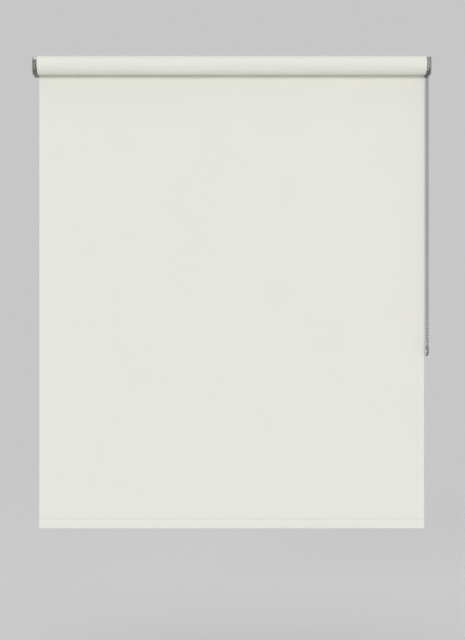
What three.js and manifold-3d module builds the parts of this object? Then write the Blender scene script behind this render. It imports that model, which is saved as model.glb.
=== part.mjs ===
// Roller blind with a bead-chain control, in millimetres.
// Frame: origin on the roller's axis at mid-width, +X to the control side, +Y to the wall, +Z up.
// The fabric hangs from the back of the roll. Turning the roller positively about +X winds it up.
import * as THREE from "three";
import { mergeVertices } from "three/addons/utils/BufferGeometryUtils.js";
import Module from "manifold-3d";

const wasm = await Module();
wasm.setup();

// ---------- driving dimensions ----------
const GAP = 0.3; // clearance between pieces that touch
const FABRIC_WIDTH = 1064;
const FABRIC = 0.5; // thickness of the cloth
const BLIND_DROP = 1300; // from the roll's top to the hem's bottom edge
const ROLL_BUILD = 2.2; // thickness of the spare turns on the tube

const TUBE_R = 22.5;
const TUBE_WALL = 1.5;
const TUBE_KEY_WIDTH = 3; // keys inside the tube, which turn the plug and the sleeve
const TUBE_KEY_HEIGHT = 1.8;
const KEY_ANGLES = [30, 150]; // degrees about X from +Y; the fabric groove is the third key
const GROOVE_ANGLE = 270;
const GROOVE_MOUTH = 2.4;
const GROOVE_WIDTH = 5.2;
const GROOVE_DEPTH = 2.4;
const GROOVE_LIP = 1; // metal left over the groove's wide part

const PLATE = 1.8; // bracket sheet
const BRACKET_LOW = 1; // the bracket's top under the roll's; its front is level with the roll
const BRACKET_BELOW = 2; // its lower edge past the roll's
const WALL_ROOM = 9; // roll to the wall
const BRACKET_CORNER = 18;
const FLANGE_WIDTH = 28;
const SLOT_WIDTH = 4.8;
const SLOT_LENGTH = 9;
const SLOT_RISE = 14; // slot centres above and below the axis
const SLOT_INSET = 16; // slot centres in from the bracket's outer face

const SCREW_R = 1.9;
const SCREW_HEAD_R = 3.9;
const SCREW_HEAD = 2.2;
const SCREW_LENGTH = 16; // past the wall face

const HUB_R = 8;
const HUB_TAIL_STEP = 2; // tail in from the hub
const HUB_FLANGE_STEP = 2.5; // flange out from the hub
const HUB_FLANGE = 0.9;
const HUB_LENGTH = 44; // the part that the springs grip
const HUB_END = 1.6; // tail left past the circlip's groove
const KEY_LONG = 10; // the hub's key through the bracket
const KEY_SHORT = 6;
const CIRCLIP = 1;
const CIRCLIP_RADIAL = 2.2;
const CIRCLIP_SEAT = 0.8; // depth of its groove

const GUARD_R = 23.5;
const GUARD_WALL = 2;
const GUARD_DISC = 1.6;
const GUARD_OPEN_DEG = 58; // half the open part of the skirt, about straight down

const BEAD_PITCH = 6;
const BEADS_ROUND = 16;
const CHAIN_D = 4.5;
const CHAIN_STRAIGHT_BEADS = 130; // beads in each straight run below the axis
const SPROCKET_WIDTH = 7.4;
const END_PLAY = 0.3; // sprocket to the hub's flange
const SLEEVE_PLAY = 0.5; // sprocket to the drive sleeve's flange
const SPROCKET_RIM = 1.1; // rim over the pitch circle
const POCKET_DEPTH = 0.7;

const SPRING_WIRE_R = 0.65;
const SPRING_TURNS = 6;
const SPRING_LENGTH = 11;
const TONGUE_ROOM = 1.7; // springs to the driving tongue
const TONGUE_WALL = 1.9;
const TONGUE_DEG = 200; // arc of the driving tongue
const TONGUE_LENGTH = 27;
const RIB_DEG = 110; // arc of the driven rib
const SLEEVE_LENGTH = 45;
const SLEEVE_END = 5; // wall at the sleeve's inner end
const FLANGE_THICK = 1.6;

const PLUG_LENGTH = 48;
const PLUG_NECK = 5.5; // bearing length at the plug's mouth
const PIN_R = 3;
const PIN_COLLAR_R = 6;
const PIN_COLLAR = 3;
const PIN_ENGAGED = 1.4; // how far the pin reaches into the bracket plate
const PIN_TAIL = 15;
const POCKET_R = 6.6;
const RETAINER = 2;
const PIN_SPRING_R = 4.6;
const PIN_SPRING_WIRE_R = 0.6;
const PIN_SPRING_TURNS = 9;
const CUP_R = 11;
const CUP_DEPTH = 3.8;

const HEM_HEIGHT = 28;
const HEM_WELD = 2.6;
const HEM_SHOULDER = 3.4; // height over which the pocket opens out
const LATH_HEIGHT = 20;
const LATH_THICK = 3.4;
const LATH_WALL = 0.9;
const LATH_INSET = 3; // lath end to fabric edge
const CAP = 2.2;
const CAP_TONGUE = 12;

const CHAIN_ROOM = 0.37; // chain to the bore of what is threaded on it
const CONNECTOR_WALL = 0.68;
const CONNECTOR_LENGTH = 14;
const STOP_BALL_WALL = 1.18;
const STOP_CLEARANCE = 0.6; // stop ball to the skirt's edge at rest

const TIDY_SHEET = 2.2;
const TIDY_BASE_HEIGHT = 34;
const TIDY_WEB_HEIGHT = 17;
const TIDY_LIP = 1;
const TIDY_LIP_REACH = 2; // lip over the drum
const TIDY_SCREW_DROP = 15; // screw below the middle of the chain's turn

const ROUND = 48; // sides of a large circle
const ROUND_SMALL = 24;
const ROUND_CHAIN = 8;
const ROUND_WIRE = 6;
const WIRE_STEPS = 12; // steps in each turn of a spring

// ---------- derived sizes and places ----------
const rollR = TUBE_R + GAP + ROLL_BUILD;
const bracketTop = rollR - BRACKET_LOW;
const bracketBottom = rollR + BRACKET_BELOW;
const wallY = rollR + WALL_ROOM;
const hubTailR = HUB_R - HUB_TAIL_STEP;
const hubFlangeR = HUB_R + HUB_FLANGE_STEP;
const tongueR = HUB_R + GAP + 2 * SPRING_WIRE_R + TONGUE_ROOM + TONGUE_WALL;
const chainBoreR = CHAIN_D / 2 + CHAIN_ROOM;
const connectorR = chainBoreR + CONNECTOR_WALL;
const stopBallR = chainBoreR + STOP_BALL_WALL;
const edgeX = FABRIC_WIDTH / 2;
const chainX = edgeX + GAP + stopBallR; // plane of the chain loop: its stop ball just passes the roll
const sprocketX0 = chainX - SPROCKET_WIDTH / 2;
const sprocketX1 = chainX + SPROCKET_WIDTH / 2;
const hubX = sprocketX1 + END_PLAY; // inner face of the hub's flange
const hubFlangeX = hubX + HUB_FLANGE;
const guardInnerX = hubFlangeX + GAP;
const guardX = guardInnerX + GUARD_DISC; // outer face of the guard's disc
const plateX = guardX + GAP; // inner face of a bracket plate
const outerX = plateX + PLATE;
const sleeveFlangeX = sprocketX0 - SLEEVE_PLAY; // outer face of the flange at the tube's end
const tubeX = sleeveFlangeX - FLANGE_THICK - GAP;
const dropY = rollR + GAP; // front face of the hanging fabric
const dropMidY = dropY + FABRIC / 2;
const hemBottomZ = rollR - BLIND_DROP;
const hemTopZ = hemBottomZ + HEM_HEIGHT;
const pitchR = (BEAD_PITCH * BEADS_ROUND) / (2 * Math.PI);
const turnZ = -CHAIN_STRAIGHT_BEADS * BEAD_PITCH; // centre of the chain's lower turn
const grooveFloorR = TUBE_R - GROOVE_LIP - GROOVE_DEPTH;
const tubeBoreR = TUBE_R - TUBE_WALL;

// ---------- manifold helpers ----------
function solid(geometry) {
  const bare = geometry.index ? geometry.toNonIndexed() : geometry.clone();
  bare.deleteAttribute("normal");
  bare.deleteAttribute("uv");
  const merged = mergeVertices(bare, 1e-4);
  return new wasm.Manifold(
    new wasm.Mesh({
      numProp: 3,
      vertProperties: new Float32Array(merged.attributes.position.array),
      triVerts: new Uint32Array(merged.index.array),
    }),
  );
}

function geometryOf(made) {
  const mesh = made.getMesh();
  return new THREE.BufferGeometry()
    .setAttribute("position", new THREE.BufferAttribute(mesh.vertProperties, 3))
    .setIndex(new THREE.BufferAttribute(mesh.triVerts, 1));
}

const joined = (...parts) => parts.reduce((all, part) => all.add(part));
const cut = (body, ...tools) => tools.reduce((left, tool) => left.subtract(tool), body);

// ---------- shape helpers ----------
// A section drawn in (Y, Z) and pushed along X from x0 to x1.
function alongX(shape, x0, x1, curveSegments = 12) {
  const geometry = new THREE.ExtrudeGeometry(shape, {
    depth: x1 - x0,
    bevelEnabled: false,
    curveSegments,
  });
  const turn = new THREE.Matrix4().set(0, 0, 1, x0, 1, 0, 0, 0, 0, 1, 0, 0, 0, 0, 0, 1);
  return geometry.applyMatrix4(turn);
}

// A section drawn in (X, Z) and pushed along Y from y0 to y1.
function alongY(shape, y0, y1, curveSegments = 12) {
  const geometry = new THREE.ExtrudeGeometry(shape, {
    depth: y1 - y0,
    bevelEnabled: false,
    curveSegments,
  });
  const turn = new THREE.Matrix4().set(1, 0, 0, 0, 0, 0, -1, y1, 0, 1, 0, 0, 0, 0, 0, 1);
  return geometry.applyMatrix4(turn);
}

// A body of revolution about the X axis, from [x, radius] corners that start and end on the axis or close.
function turned(corners, sides = ROUND) {
  const points = corners.map(([x, r]) => new THREE.Vector2(r, x));
  const geometry = new THREE.LatheGeometry(points, sides);
  return geometry.rotateZ(-Math.PI / 2);
}

const disc = (x0, x1, r, sides) => turned([[x0, 0], [x0, r], [x1, r], [x1, 0]], sides);
const ring = (x0, x1, inner, outer, sides) =>
  turned([[x0, inner], [x0, outer], [x1, outer], [x1, inner], [x0, inner]], sides);

function block(x0, x1, y0, y1, z0, z1) {
  const box = new THREE.BoxGeometry(x1 - x0, y1 - y0, z1 - z0);
  return box.translate((x0 + x1) / 2, (y0 + y1) / 2, (z0 + z1) / 2);
}

function roundedRect(cx, cy, width, height, radius) {
  const shape = new THREE.Shape();
  const [x0, x1, y0, y1] = [cx - width / 2, cx + width / 2, cy - height / 2, cy + height / 2];
  shape.moveTo(x0 + radius, y0);
  shape.lineTo(x1 - radius, y0);
  shape.absarc(x1 - radius, y0 + radius, radius, -Math.PI / 2, 0);
  shape.lineTo(x1, y1 - radius);
  shape.absarc(x1 - radius, y1 - radius, radius, 0, Math.PI / 2);
  shape.lineTo(x0 + radius, y1);
  shape.absarc(x0 + radius, y1 - radius, radius, Math.PI / 2, Math.PI);
  shape.lineTo(x0, y0 + radius);
  shape.absarc(x0 + radius, y0 + radius, radius, Math.PI, 1.5 * Math.PI);
  return shape;
}

// A ring sector in (Y, Z), centred on the angle at, in degrees from +Y.
function sector(inner, outer, at, arc) {
  const from = THREE.MathUtils.degToRad(at - arc / 2);
  const to = THREE.MathUtils.degToRad(at + arc / 2);
  const shape = new THREE.Shape();
  shape.absarc(0, 0, outer, from, to, false);
  shape.absarc(0, 0, inner, to, from, true);
  shape.closePath();
  return shape;
}

// A round wire or tube along a curve.
function tube(curve, radius, steps, sides) {
  const section = new THREE.Shape();
  for (let i = 0; i < sides; i += 1) {
    const a = (2 * Math.PI * i) / sides;
    const [u, v] = [radius * Math.cos(a), radius * Math.sin(a)];
    if (i === 0) section.moveTo(u, v);
    else section.lineTo(u, v);
  }
  section.closePath();
  return new THREE.ExtrudeGeometry(section, { steps, extrudePath: curve, bevelEnabled: false });
}

// A helix about the X axis; phase is its starting angle from +Y, in radians.
class Helix extends THREE.Curve {
  constructor(x0, x1, radius, turns, phase) {
    super();
    Object.assign(this, { x0, x1, radius, turns, phase });
  }
  getPoint(t, target = new THREE.Vector3()) {
    const a = this.phase + 2 * Math.PI * this.turns * t;
    return target.set(
      this.x0 + (this.x1 - this.x0) * t,
      this.radius * Math.cos(a),
      this.radius * Math.sin(a),
    );
  }
}

// ---------- finishes ----------
const finish = (color, roughness, metalness = 0) =>
  new THREE.MeshStandardMaterial({ color, roughness, metalness });
const FINISH = {
  fabric: finish(0xe6e6de, 0.9),
  coatedSteel: finish(0xaaa7a4, 0.45, 0.1),
  whitePlastic: finish(0xecece8, 0.5),
  greyPlastic: finish(0x949390, 0.55),
  clearPlastic: finish(0xd8dcdc, 0.2),
  aluminium: finish(0xb9bcc0, 0.4, 0.9),
  zincSteel: finish(0xa9acb0, 0.35, 0.9),
  springSteel: finish(0x6e7276, 0.4, 0.9),
  chain: finish(0xc4c5c6, 0.3, 0.7),
};

const blind = new THREE.Group();
function piece(name, geometry, material) {
  const mesh = new THREE.Mesh(geometry, material);
  mesh.name = name;
  blind.add(mesh);
  return mesh;
}

// ---------- brackets ----------
// side is +1 for the control end and -1 for the idle end; opening is the hole in the side plate.
function bracket(side, opening) {
  const height = bracketTop + bracketBottom;
  const midZ = (bracketTop - bracketBottom) / 2;
  const outline = new THREE.Shape();
  const [y0, y1, z0, z1] = [-rollR, wallY, -bracketBottom, bracketTop];
  outline.moveTo(y1, z0);
  outline.lineTo(y1, z1);
  outline.lineTo(y0 + BRACKET_CORNER, z1);
  outline.absarc(y0 + BRACKET_CORNER, z1 - BRACKET_CORNER, BRACKET_CORNER, Math.PI / 2, Math.PI);
  outline.lineTo(y0, z0 + BRACKET_CORNER);
  outline.absarc(y0 + BRACKET_CORNER, z0 + BRACKET_CORNER, BRACKET_CORNER, Math.PI, 1.5 * Math.PI);
  outline.closePath();
  const inner = side * plateX;
  const outer = side * outerX;
  const plate = alongX(outline, Math.min(inner, outer), Math.max(inner, outer), 10);

  const flangeEnd = outer - side * FLANGE_WIDTH;
  const flangeMidX = (outer + flangeEnd) / 2;
  const flange = alongY(
    roundedRect(flangeMidX, midZ, FLANGE_WIDTH, height, 2.5),
    wallY - PLATE,
    wallY,
    4,
  );
  const slots = [SLOT_RISE, -SLOT_RISE].map((z) =>
    solid(
      alongY(
        roundedRect(outer - side * SLOT_INSET, z, SLOT_WIDTH, SLOT_LENGTH, SLOT_WIDTH / 2 - 0.01),
        wallY - PLATE - 1,
        wallY + 1,
        6,
      ),
    ),
  );
  return geometryOf(cut(joined(solid(plate), solid(flange)), ...slots, solid(opening)));
}

const keyHole = alongX(
  roundedRect(0, 0, KEY_LONG + 2 * GAP, KEY_SHORT + 2 * GAP, 1.2),
  guardInnerX - 1,
  outerX + 1,
  4,
);
const cupHole = disc(-outerX - 1, -plateX + 1, CUP_R - 4, ROUND_SMALL);
piece("control_bracket", bracket(1, keyHole), FINISH.coatedSteel);
piece("idle_bracket", bracket(-1, cupHole), FINISH.coatedSteel);

// The cup clips into the bracket's hole and carries the sprung pin.
const cupInnerX = -(plateX - GAP - CUP_DEPTH);
piece(
  "idle_bearing_cup",
  turned(
    [
      [-outerX + 0.2, PIN_R + GAP],
      [-outerX + 0.2, CUP_R - 4 - GAP],
      [-plateX + GAP, CUP_R - 4 - GAP],
      [-plateX + GAP, CUP_R],
      [cupInnerX - 1, CUP_R],
      [cupInnerX, CUP_R - 1.2],
      [cupInnerX, PIN_R + 1.2],
      [cupInnerX - 0.9, PIN_R + GAP],
      [-outerX + 0.2, PIN_R + GAP],
    ],
    ROUND_SMALL,
  ),
  FINISH.whitePlastic,
);

// A pan-head screw along +Y with a cross recess; seat is the face its head bears on.
function screw(x, z, seatY) {
  const headY = seatY - GAP - SCREW_HEAD;
  const profile = [
    [headY, 0],
    [headY, SCREW_HEAD_R * 0.55],
    [headY + SCREW_HEAD * 0.35, SCREW_HEAD_R * 0.88],
    [headY + SCREW_HEAD, SCREW_HEAD_R],
    [headY + SCREW_HEAD, SCREW_R],
    [wallY + SCREW_LENGTH - 4, SCREW_R],
    [wallY + SCREW_LENGTH, 0],
  ];
  const body = turned(profile, 20).rotateZ(Math.PI / 2);
  const recess = 0.5;
  const reach = SCREW_HEAD_R * 0.5;
  const bars = [
    block(-recess, recess, headY - 1, headY + 1.2, -reach, reach),
    block(-reach, reach, headY - 1, headY + 1.2, -recess, recess),
  ];
  return geometryOf(cut(solid(body), ...bars.map(solid))).translate(x, 0, z);
}

for (const [end, side] of [["control", 1], ["idle", -1]]) {
  for (const [level, z] of [["upper", SLOT_RISE], ["lower", -SLOT_RISE]]) {
    const x = side * (outerX - SLOT_INSET);
    const shape = screw(x, z, wallY - PLATE);
    piece(`${end}_bracket_screw_${level}`, shape, FINISH.zincSteel);
  }
}

// ---------- control end, fixed ----------
const hubTailX = hubX - HUB_LENGTH;
const sleeveInnerX = tubeX - SLEEVE_LENGTH;
const clipX = sleeveInnerX - GAP; // outer face of the circlip
const clipGrooveX = clipX - CIRCLIP - GAP;
const hubEndX = clipGrooveX - HUB_END;
const hubKey = alongX(
  roundedRect(0, 0, KEY_LONG, KEY_SHORT, 1),
  hubFlangeX - 0.2,
  outerX - 0.4,
  4,
);
const hubProfile = [
  [hubEndX, 0],
  [hubEndX, hubTailR],
  [clipGrooveX, hubTailR],
  [clipGrooveX, hubTailR - CIRCLIP_SEAT],
  [clipX + GAP, hubTailR - CIRCLIP_SEAT],
  [clipX + GAP, hubTailR],
  [hubTailX, hubTailR],
  [hubTailX, HUB_R],
  [hubX, HUB_R],
  [hubX, hubFlangeR],
  [hubFlangeX, hubFlangeR],
  [hubFlangeX, 0],
];
const hubBody = turned(hubProfile, ROUND_SMALL);
piece("control_hub", geometryOf(joined(solid(hubBody), solid(hubKey))), FINISH.greyPlastic);

const clipShape = sector(
  hubTailR - CIRCLIP_SEAT + GAP,
  hubTailR - CIRCLIP_SEAT + GAP + CIRCLIP_RADIAL,
  90,
  290,
);
piece(
  "hub_circlip",
  alongX(clipShape, clipX - CIRCLIP, clipX, 20),
  FINISH.springSteel,
);

const skirtEnd = edgeX + 0.6;
const guardDisc = solid(disc(guardInnerX, guardX, GUARD_R));
const guardSkirt = solid(
  alongX(
    sector(GUARD_R - GUARD_WALL, GUARD_R, 90, 360 - 2 * GUARD_OPEN_DEG),
    skirtEnd,
    guardInnerX + 0.1,
    ROUND_SMALL,
  ),
);
piece(
  "chain_guard",
  geometryOf(cut(joined(guardDisc, guardSkirt), solid(keyHole))),
  FINISH.greyPlastic,
);

// ---------- control end, turning ----------
const rimR = pitchR + SPROCKET_RIM;
const grooveHalf = CHAIN_D / 2 + GAP;
const floorR = pitchR - CHAIN_D / 2 - GAP;
const tongueEndX = sprocketX0 - TONGUE_LENGTH;
const sprocketWheel = turned([
  [sprocketX0, HUB_R + GAP],
  [sprocketX0, rimR],
  [chainX - grooveHalf - 0.2, rimR],
  [chainX - grooveHalf, floorR + 1],
  [chainX - grooveHalf + 1, floorR],
  [chainX + grooveHalf - 1, floorR],
  [chainX + grooveHalf, floorR + 1],
  [chainX + grooveHalf + 0.2, rimR],
  [sprocketX1, rimR],
  [sprocketX1, HUB_R + GAP],
  [sprocketX0, HUB_R + GAP],
]);
const tongue = alongX(
  sector(tongueR - TONGUE_WALL, tongueR, 90, TONGUE_DEG),
  tongueEndX,
  sprocketX0 + 0.5,
  24,
);
const pockets = [];
for (let i = 0; i < BEADS_ROUND; i += 1) {
  const a = (2 * Math.PI * (i + 0.5)) / BEADS_ROUND;
  const bead = new THREE.SphereGeometry(CHAIN_D / 2 + GAP, 8, 6);
  const r = pitchR - POCKET_DEPTH;
  pockets.push(solid(bead.translate(chainX, r * Math.cos(a), r * Math.sin(a))));
}
piece(
  "chain_sprocket",
  geometryOf(cut(joined(solid(sprocketWheel), solid(tongue)), ...pockets)),
  FINISH.greyPlastic,
);

const springCoilR = HUB_R + GAP + SPRING_WIRE_R;
const springStep = SPRING_LENGTH + 2;
// The tangs stand in the two gaps between the tongue and the sleeve's rib, which are opposite the tongue.
const tangAngle = (180 - TONGUE_DEG / 2 + RIB_DEG / 2) / 2; // each side of straight down
const tangAngles = [270 - tangAngle, 270 + tangAngle].map(THREE.MathUtils.degToRad);
const springTurns = SPRING_TURNS + tangAngle / 180;
for (const [i, place] of ["outer", "inner"].entries()) {
  const x1 = sprocketX0 - 1.5 - i * springStep;
  const x0 = x1 - SPRING_LENGTH;
  const coil = new Helix(x0, x1, springCoilR, springTurns, tangAngles[0]);
  const wire = tube(coil, SPRING_WIRE_R, Math.round(springTurns * WIRE_STEPS), ROUND_WIRE);
  const tangs = [x0, x1].map((x, end) =>
    disc(springCoilR, tongueR, SPRING_WIRE_R, ROUND_WIRE)
      .rotateZ(Math.PI / 2)
      .rotateX(tangAngles[end])
      .translate(x, 0, 0),
  );
  piece(
    `wrap_spring_${place}`,
    geometryOf(joined(solid(wire), ...tangs.map(solid))),
    FINISH.springSteel,
  );
}

// Cuts that let a plug in the tube's end pass its keys and the fabric groove.
function keyways(x0, x1) {
  const reach = TUBE_KEY_WIDTH / 2 + GAP;
  const keyFloor = tubeBoreR - TUBE_KEY_HEIGHT - GAP;
  const slots = KEY_ANGLES.map((angle) =>
    block(x0 - 1, x1 + 1, keyFloor, TUBE_R + 2, -reach, reach).rotateX(
      THREE.MathUtils.degToRad(angle),
    ),
  );
  const bossHalf = GROOVE_WIDTH / 2 + TUBE_WALL + GAP;
  const bossFloor = grooveFloorR - TUBE_WALL - GAP;
  slots.push(
    block(x0 - 1, x1 + 1, bossFloor, TUBE_R + 2, -bossHalf, bossHalf).rotateX(
      THREE.MathUtils.degToRad(GROOVE_ANGLE),
    ),
  );
  return slots.map(solid);
}

const insertR = tubeBoreR - GAP;
const flangeR = TUBE_R - 0.1;
const sleeveBoreR = tongueR + GAP;
const sleeveBarrel = solid(disc(sleeveInnerX, tubeX + GAP + 0.2, insertR));
const sleeveBore = solid(disc(sleeveInnerX + SLEEVE_END, sleeveFlangeX + 1, sleeveBoreR));
const sleeveTailBore = solid(
  disc(sleeveInnerX - 1, sleeveFlangeX, hubTailR + GAP, ROUND_SMALL),
);
const rib = solid(
  alongX(
    sector(tongueR - TONGUE_WALL, sleeveBoreR + 0.4, 270, RIB_DEG),
    tongueEndX,
    sleeveFlangeX - 0.1,
    20,
  ),
);
const sleeveInTube = cut(
  joined(cut(sleeveBarrel, sleeveBore, sleeveTailBore), rib),
  ...keyways(sleeveInnerX, tubeX - 0.5),
);
const sleeveFlange = solid(
  ring(tubeX + GAP, sleeveFlangeX, sleeveBoreR - 0.01, flangeR),
);
piece("drive_sleeve", geometryOf(joined(sleeveInTube, sleeveFlange)), FINISH.greyPlastic);

// ---------- roller tube ----------
const tubeRing = solid(ring(-tubeX, tubeX, tubeBoreR, TUBE_R, ROUND));
const tubeKeys = KEY_ANGLES.map((angle) =>
  solid(
    block(
      -tubeX,
      tubeX,
      tubeBoreR - TUBE_KEY_HEIGHT,
      tubeBoreR + 0.4,
      -TUBE_KEY_WIDTH / 2,
      TUBE_KEY_WIDTH / 2,
    ).rotateX(THREE.MathUtils.degToRad(angle)),
  ),
);
const atGroove = (geometry) => solid(geometry.rotateX(THREE.MathUtils.degToRad(GROOVE_ANGLE)));
const bossHalfWidth = GROOVE_WIDTH / 2 + TUBE_WALL;
const grooveBoss = atGroove(
  block(-tubeX, tubeX, grooveFloorR - TUBE_WALL, TUBE_R - 0.6, -bossHalfWidth, bossHalfWidth),
);
const grooveRoom = atGroove(
  block(
    -tubeX - 1,
    tubeX + 1,
    grooveFloorR,
    TUBE_R - GROOVE_LIP,
    -GROOVE_WIDTH / 2,
    GROOVE_WIDTH / 2,
  ),
);
const grooveMouth = atGroove(
  block(
    -tubeX - 1,
    tubeX + 1,
    grooveFloorR + 0.5,
    TUBE_R + 1,
    -GROOVE_MOUTH / 2,
    GROOVE_MOUTH / 2,
  ),
);
piece(
  "roller_tube",
  geometryOf(cut(joined(tubeRing, ...tubeKeys, grooveBoss), grooveRoom, grooveMouth)),
  FINISH.aluminium,
);

const splineInset = 1;
const spline = alongX(
  roundedRect(
    (grooveFloorR + TUBE_R - GROOVE_LIP) / 2,
    0,
    GROOVE_DEPTH - 2 * GAP,
    GROOVE_WIDTH - 2 * GAP,
    0.6,
  ),
  -tubeX + splineInset,
  tubeX - splineInset,
  3,
);
piece(
  "fabric_spline",
  spline.rotateX(THREE.MathUtils.degToRad(GROOVE_ANGLE)),
  FINISH.whitePlastic,
);

// ---------- idle end ----------
const plugFlangeX = -sleeveFlangeX; // the plug's flange matches the sleeve's
const plugInnerX = -(tubeX - PLUG_LENGTH);
const pocketX = plugFlangeX + PLUG_NECK;
const plugBarrel = cut(
  solid(disc(-tubeX - GAP - 0.2, plugInnerX, insertR)),
  ...keyways(-tubeX + 0.5, plugInnerX),
);
const plugFlange = solid(disc(plugFlangeX, -tubeX - GAP, flangeR));
const plugBore = solid(disc(plugFlangeX - 1, pocketX + 1, PIN_R + GAP, ROUND_SMALL));
const plugPocket = solid(disc(pocketX, plugInnerX + 1, POCKET_R, ROUND_SMALL));
piece(
  "idle_plug",
  geometryOf(cut(joined(plugBarrel, plugFlange), plugBore, plugPocket)),
  FINISH.greyPlastic,
);

const pinTipX = -(plateX + PIN_ENGAGED);
const collarX = pocketX + GAP;
const collarEndX = collarX + PIN_COLLAR;
piece(
  "idle_pin",
  turned(
    [
      [pinTipX, 0],
      [pinTipX, PIN_R - 0.7],
      [pinTipX + 0.7, PIN_R],
      [collarX, PIN_R],
      [collarX, PIN_COLLAR_R],
      [collarEndX, PIN_COLLAR_R],
      [collarEndX, PIN_R],
      [collarEndX + PIN_TAIL, PIN_R],
      [collarEndX + PIN_TAIL, 0],
    ],
    ROUND_SMALL,
  ),
  FINISH.zincSteel,
);

const retainerX = plugInnerX - 1 - RETAINER;
piece(
  "spring_retainer",
  ring(retainerX, retainerX + RETAINER, 1.5, POCKET_R - GAP, ROUND_SMALL),
  FINISH.zincSteel,
);
const springX0 = collarEndX + GAP + PIN_SPRING_WIRE_R;
const springX1 = retainerX - GAP - PIN_SPRING_WIRE_R;
piece(
  "pin_spring",
  tube(
    new Helix(springX0, springX1, PIN_SPRING_R, PIN_SPRING_TURNS, 0),
    PIN_SPRING_WIRE_R,
    PIN_SPRING_TURNS * WIRE_STEPS,
    ROUND_WIRE,
  ),
  FINISH.springSteel,
);

// ---------- fabric ----------
piece(
  "fabric_roll",
  ring(-edgeX, edgeX, TUBE_R + GAP, rollR, ROUND),
  FINISH.fabric,
);
piece(
  "fabric_drop",
  block(-edgeX, edgeX, dropY, dropY + FABRIC, hemTopZ + GAP, 0),
  FINISH.fabric,
);

// ---------- hem and bottom bar ----------
// Half the pocket's outline, out from the fabric's plane: out is outwards, in is towards the lath.
function hemOutline(wall) {
  const half = LATH_THICK / 2 + GAP + FABRIC - wall;
  const weldHalf = FABRIC - Math.min(wall, FABRIC * 0.9);
  const bottom = hemBottomZ + wall;
  const top = wall ? hemTopZ - HEM_WELD : hemTopZ;
  const shoulder = hemTopZ - HEM_WELD - HEM_SHOULDER;
  const shape = new THREE.Shape();
  shape.moveTo(dropMidY - weldHalf, top);
  if (!wall) shape.lineTo(dropMidY - weldHalf, hemTopZ - HEM_WELD);
  shape.lineTo(dropMidY - half, shoulder);
  shape.lineTo(dropMidY - half, bottom + half);
  shape.absarc(dropMidY, bottom + half, half, Math.PI, 2 * Math.PI);
  shape.lineTo(dropMidY + half, shoulder);
  if (!wall) shape.lineTo(dropMidY + weldHalf, hemTopZ - HEM_WELD);
  shape.lineTo(dropMidY + weldHalf, top);
  shape.closePath();
  return shape;
}
const hemShape = hemOutline(0);
hemShape.holes.push(hemOutline(FABRIC));
piece("hem_pocket", alongX(hemShape, -edgeX, edgeX, 10), FINISH.fabric);

const lathMidZ = hemBottomZ + FABRIC + GAP + 1 + LATH_HEIGHT / 2;
const lathX = edgeX - LATH_INSET;
const chamber = (LATH_HEIGHT - 3 * LATH_WALL) / 2;
const chamberZ = [1, -1].map((side) => lathMidZ + (side * (chamber + LATH_WALL)) / 2);
const lathShape = roundedRect(dropMidY, lathMidZ, LATH_THICK, LATH_HEIGHT, LATH_THICK / 2 - 0.1);
for (const z of chamberZ) {
  lathShape.holes.push(roundedRect(dropMidY, z, LATH_THICK - 2 * LATH_WALL, chamber, 0.3));
}
piece("bottom_bar_lath", alongX(lathShape, -lathX, lathX, 4), FINISH.aluminium);

for (const [end, side] of [["right", 1], ["left", -1]]) {
  const inner = side * (lathX + GAP);
  const outer = inner + side * CAP;
  const face = alongX(
    roundedRect(dropMidY, lathMidZ, LATH_THICK, LATH_HEIGHT, LATH_THICK / 2 - 0.1),
    Math.min(inner, outer),
    Math.max(inner, outer),
    4,
  );
  const from = inner + side * 0.2;
  const to = inner - side * CAP_TONGUE;
  const tongues = chamberZ.map((z) =>
    alongX(
      roundedRect(dropMidY, z, LATH_THICK - 2 * LATH_WALL - 2 * GAP, chamber - 2 * GAP, 0.2),
      Math.min(from, to),
      Math.max(from, to),
      2,
    ),
  );
  piece(
    `lath_cap_${end}`,
    geometryOf(joined(solid(face), ...tongues.map(solid))),
    FINISH.whitePlastic,
  );
}

// ---------- bead chain ----------
// The hanging loop runs down in front, turns round and comes up behind.
class HalfTurn extends THREE.Curve {
  // from and to are angles from +Y about the centre (0, centreZ), in radians
  constructor(centreZ, from, to) {
    super();
    Object.assign(this, { centreZ, from, to });
  }
  getPoint(t, target = new THREE.Vector3()) {
    const a = this.from + (this.to - this.from) * t;
    return target.set(chainX, pitchR * Math.cos(a), this.centreZ + pitchR * Math.sin(a));
  }
}

// Curves end to end, each with its own number of steps, so that only the turns are finely stepped.
class SteppedPath extends THREE.Curve {
  constructor(curves, counts) {
    super();
    this.curves = curves;
    this.counts = counts;
    this.steps = counts.reduce((sum, count) => sum + count, 0);
  }
  locate(t) {
    let step = t * this.steps;
    let i = 0;
    while (i < this.curves.length - 1 && step > this.counts[i] + 1e-6) {
      step -= this.counts[i];
      i += 1;
    }
    return [this.curves[i], Math.min(1, step / this.counts[i])];
  }
  getPoint(t, target = new THREE.Vector3()) {
    const [curve, share] = this.locate(t);
    return curve.getPoint(share, target);
  }
  getPointAt(t, target) {
    return this.getPoint(t, target);
  }
  getTangent(t, target = new THREE.Vector3()) {
    const [curve, share] = this.locate(t);
    return curve.getTangent(share, target);
  }
  getTangentAt(t, target) {
    return this.getTangent(t, target);
  }
}

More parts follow.
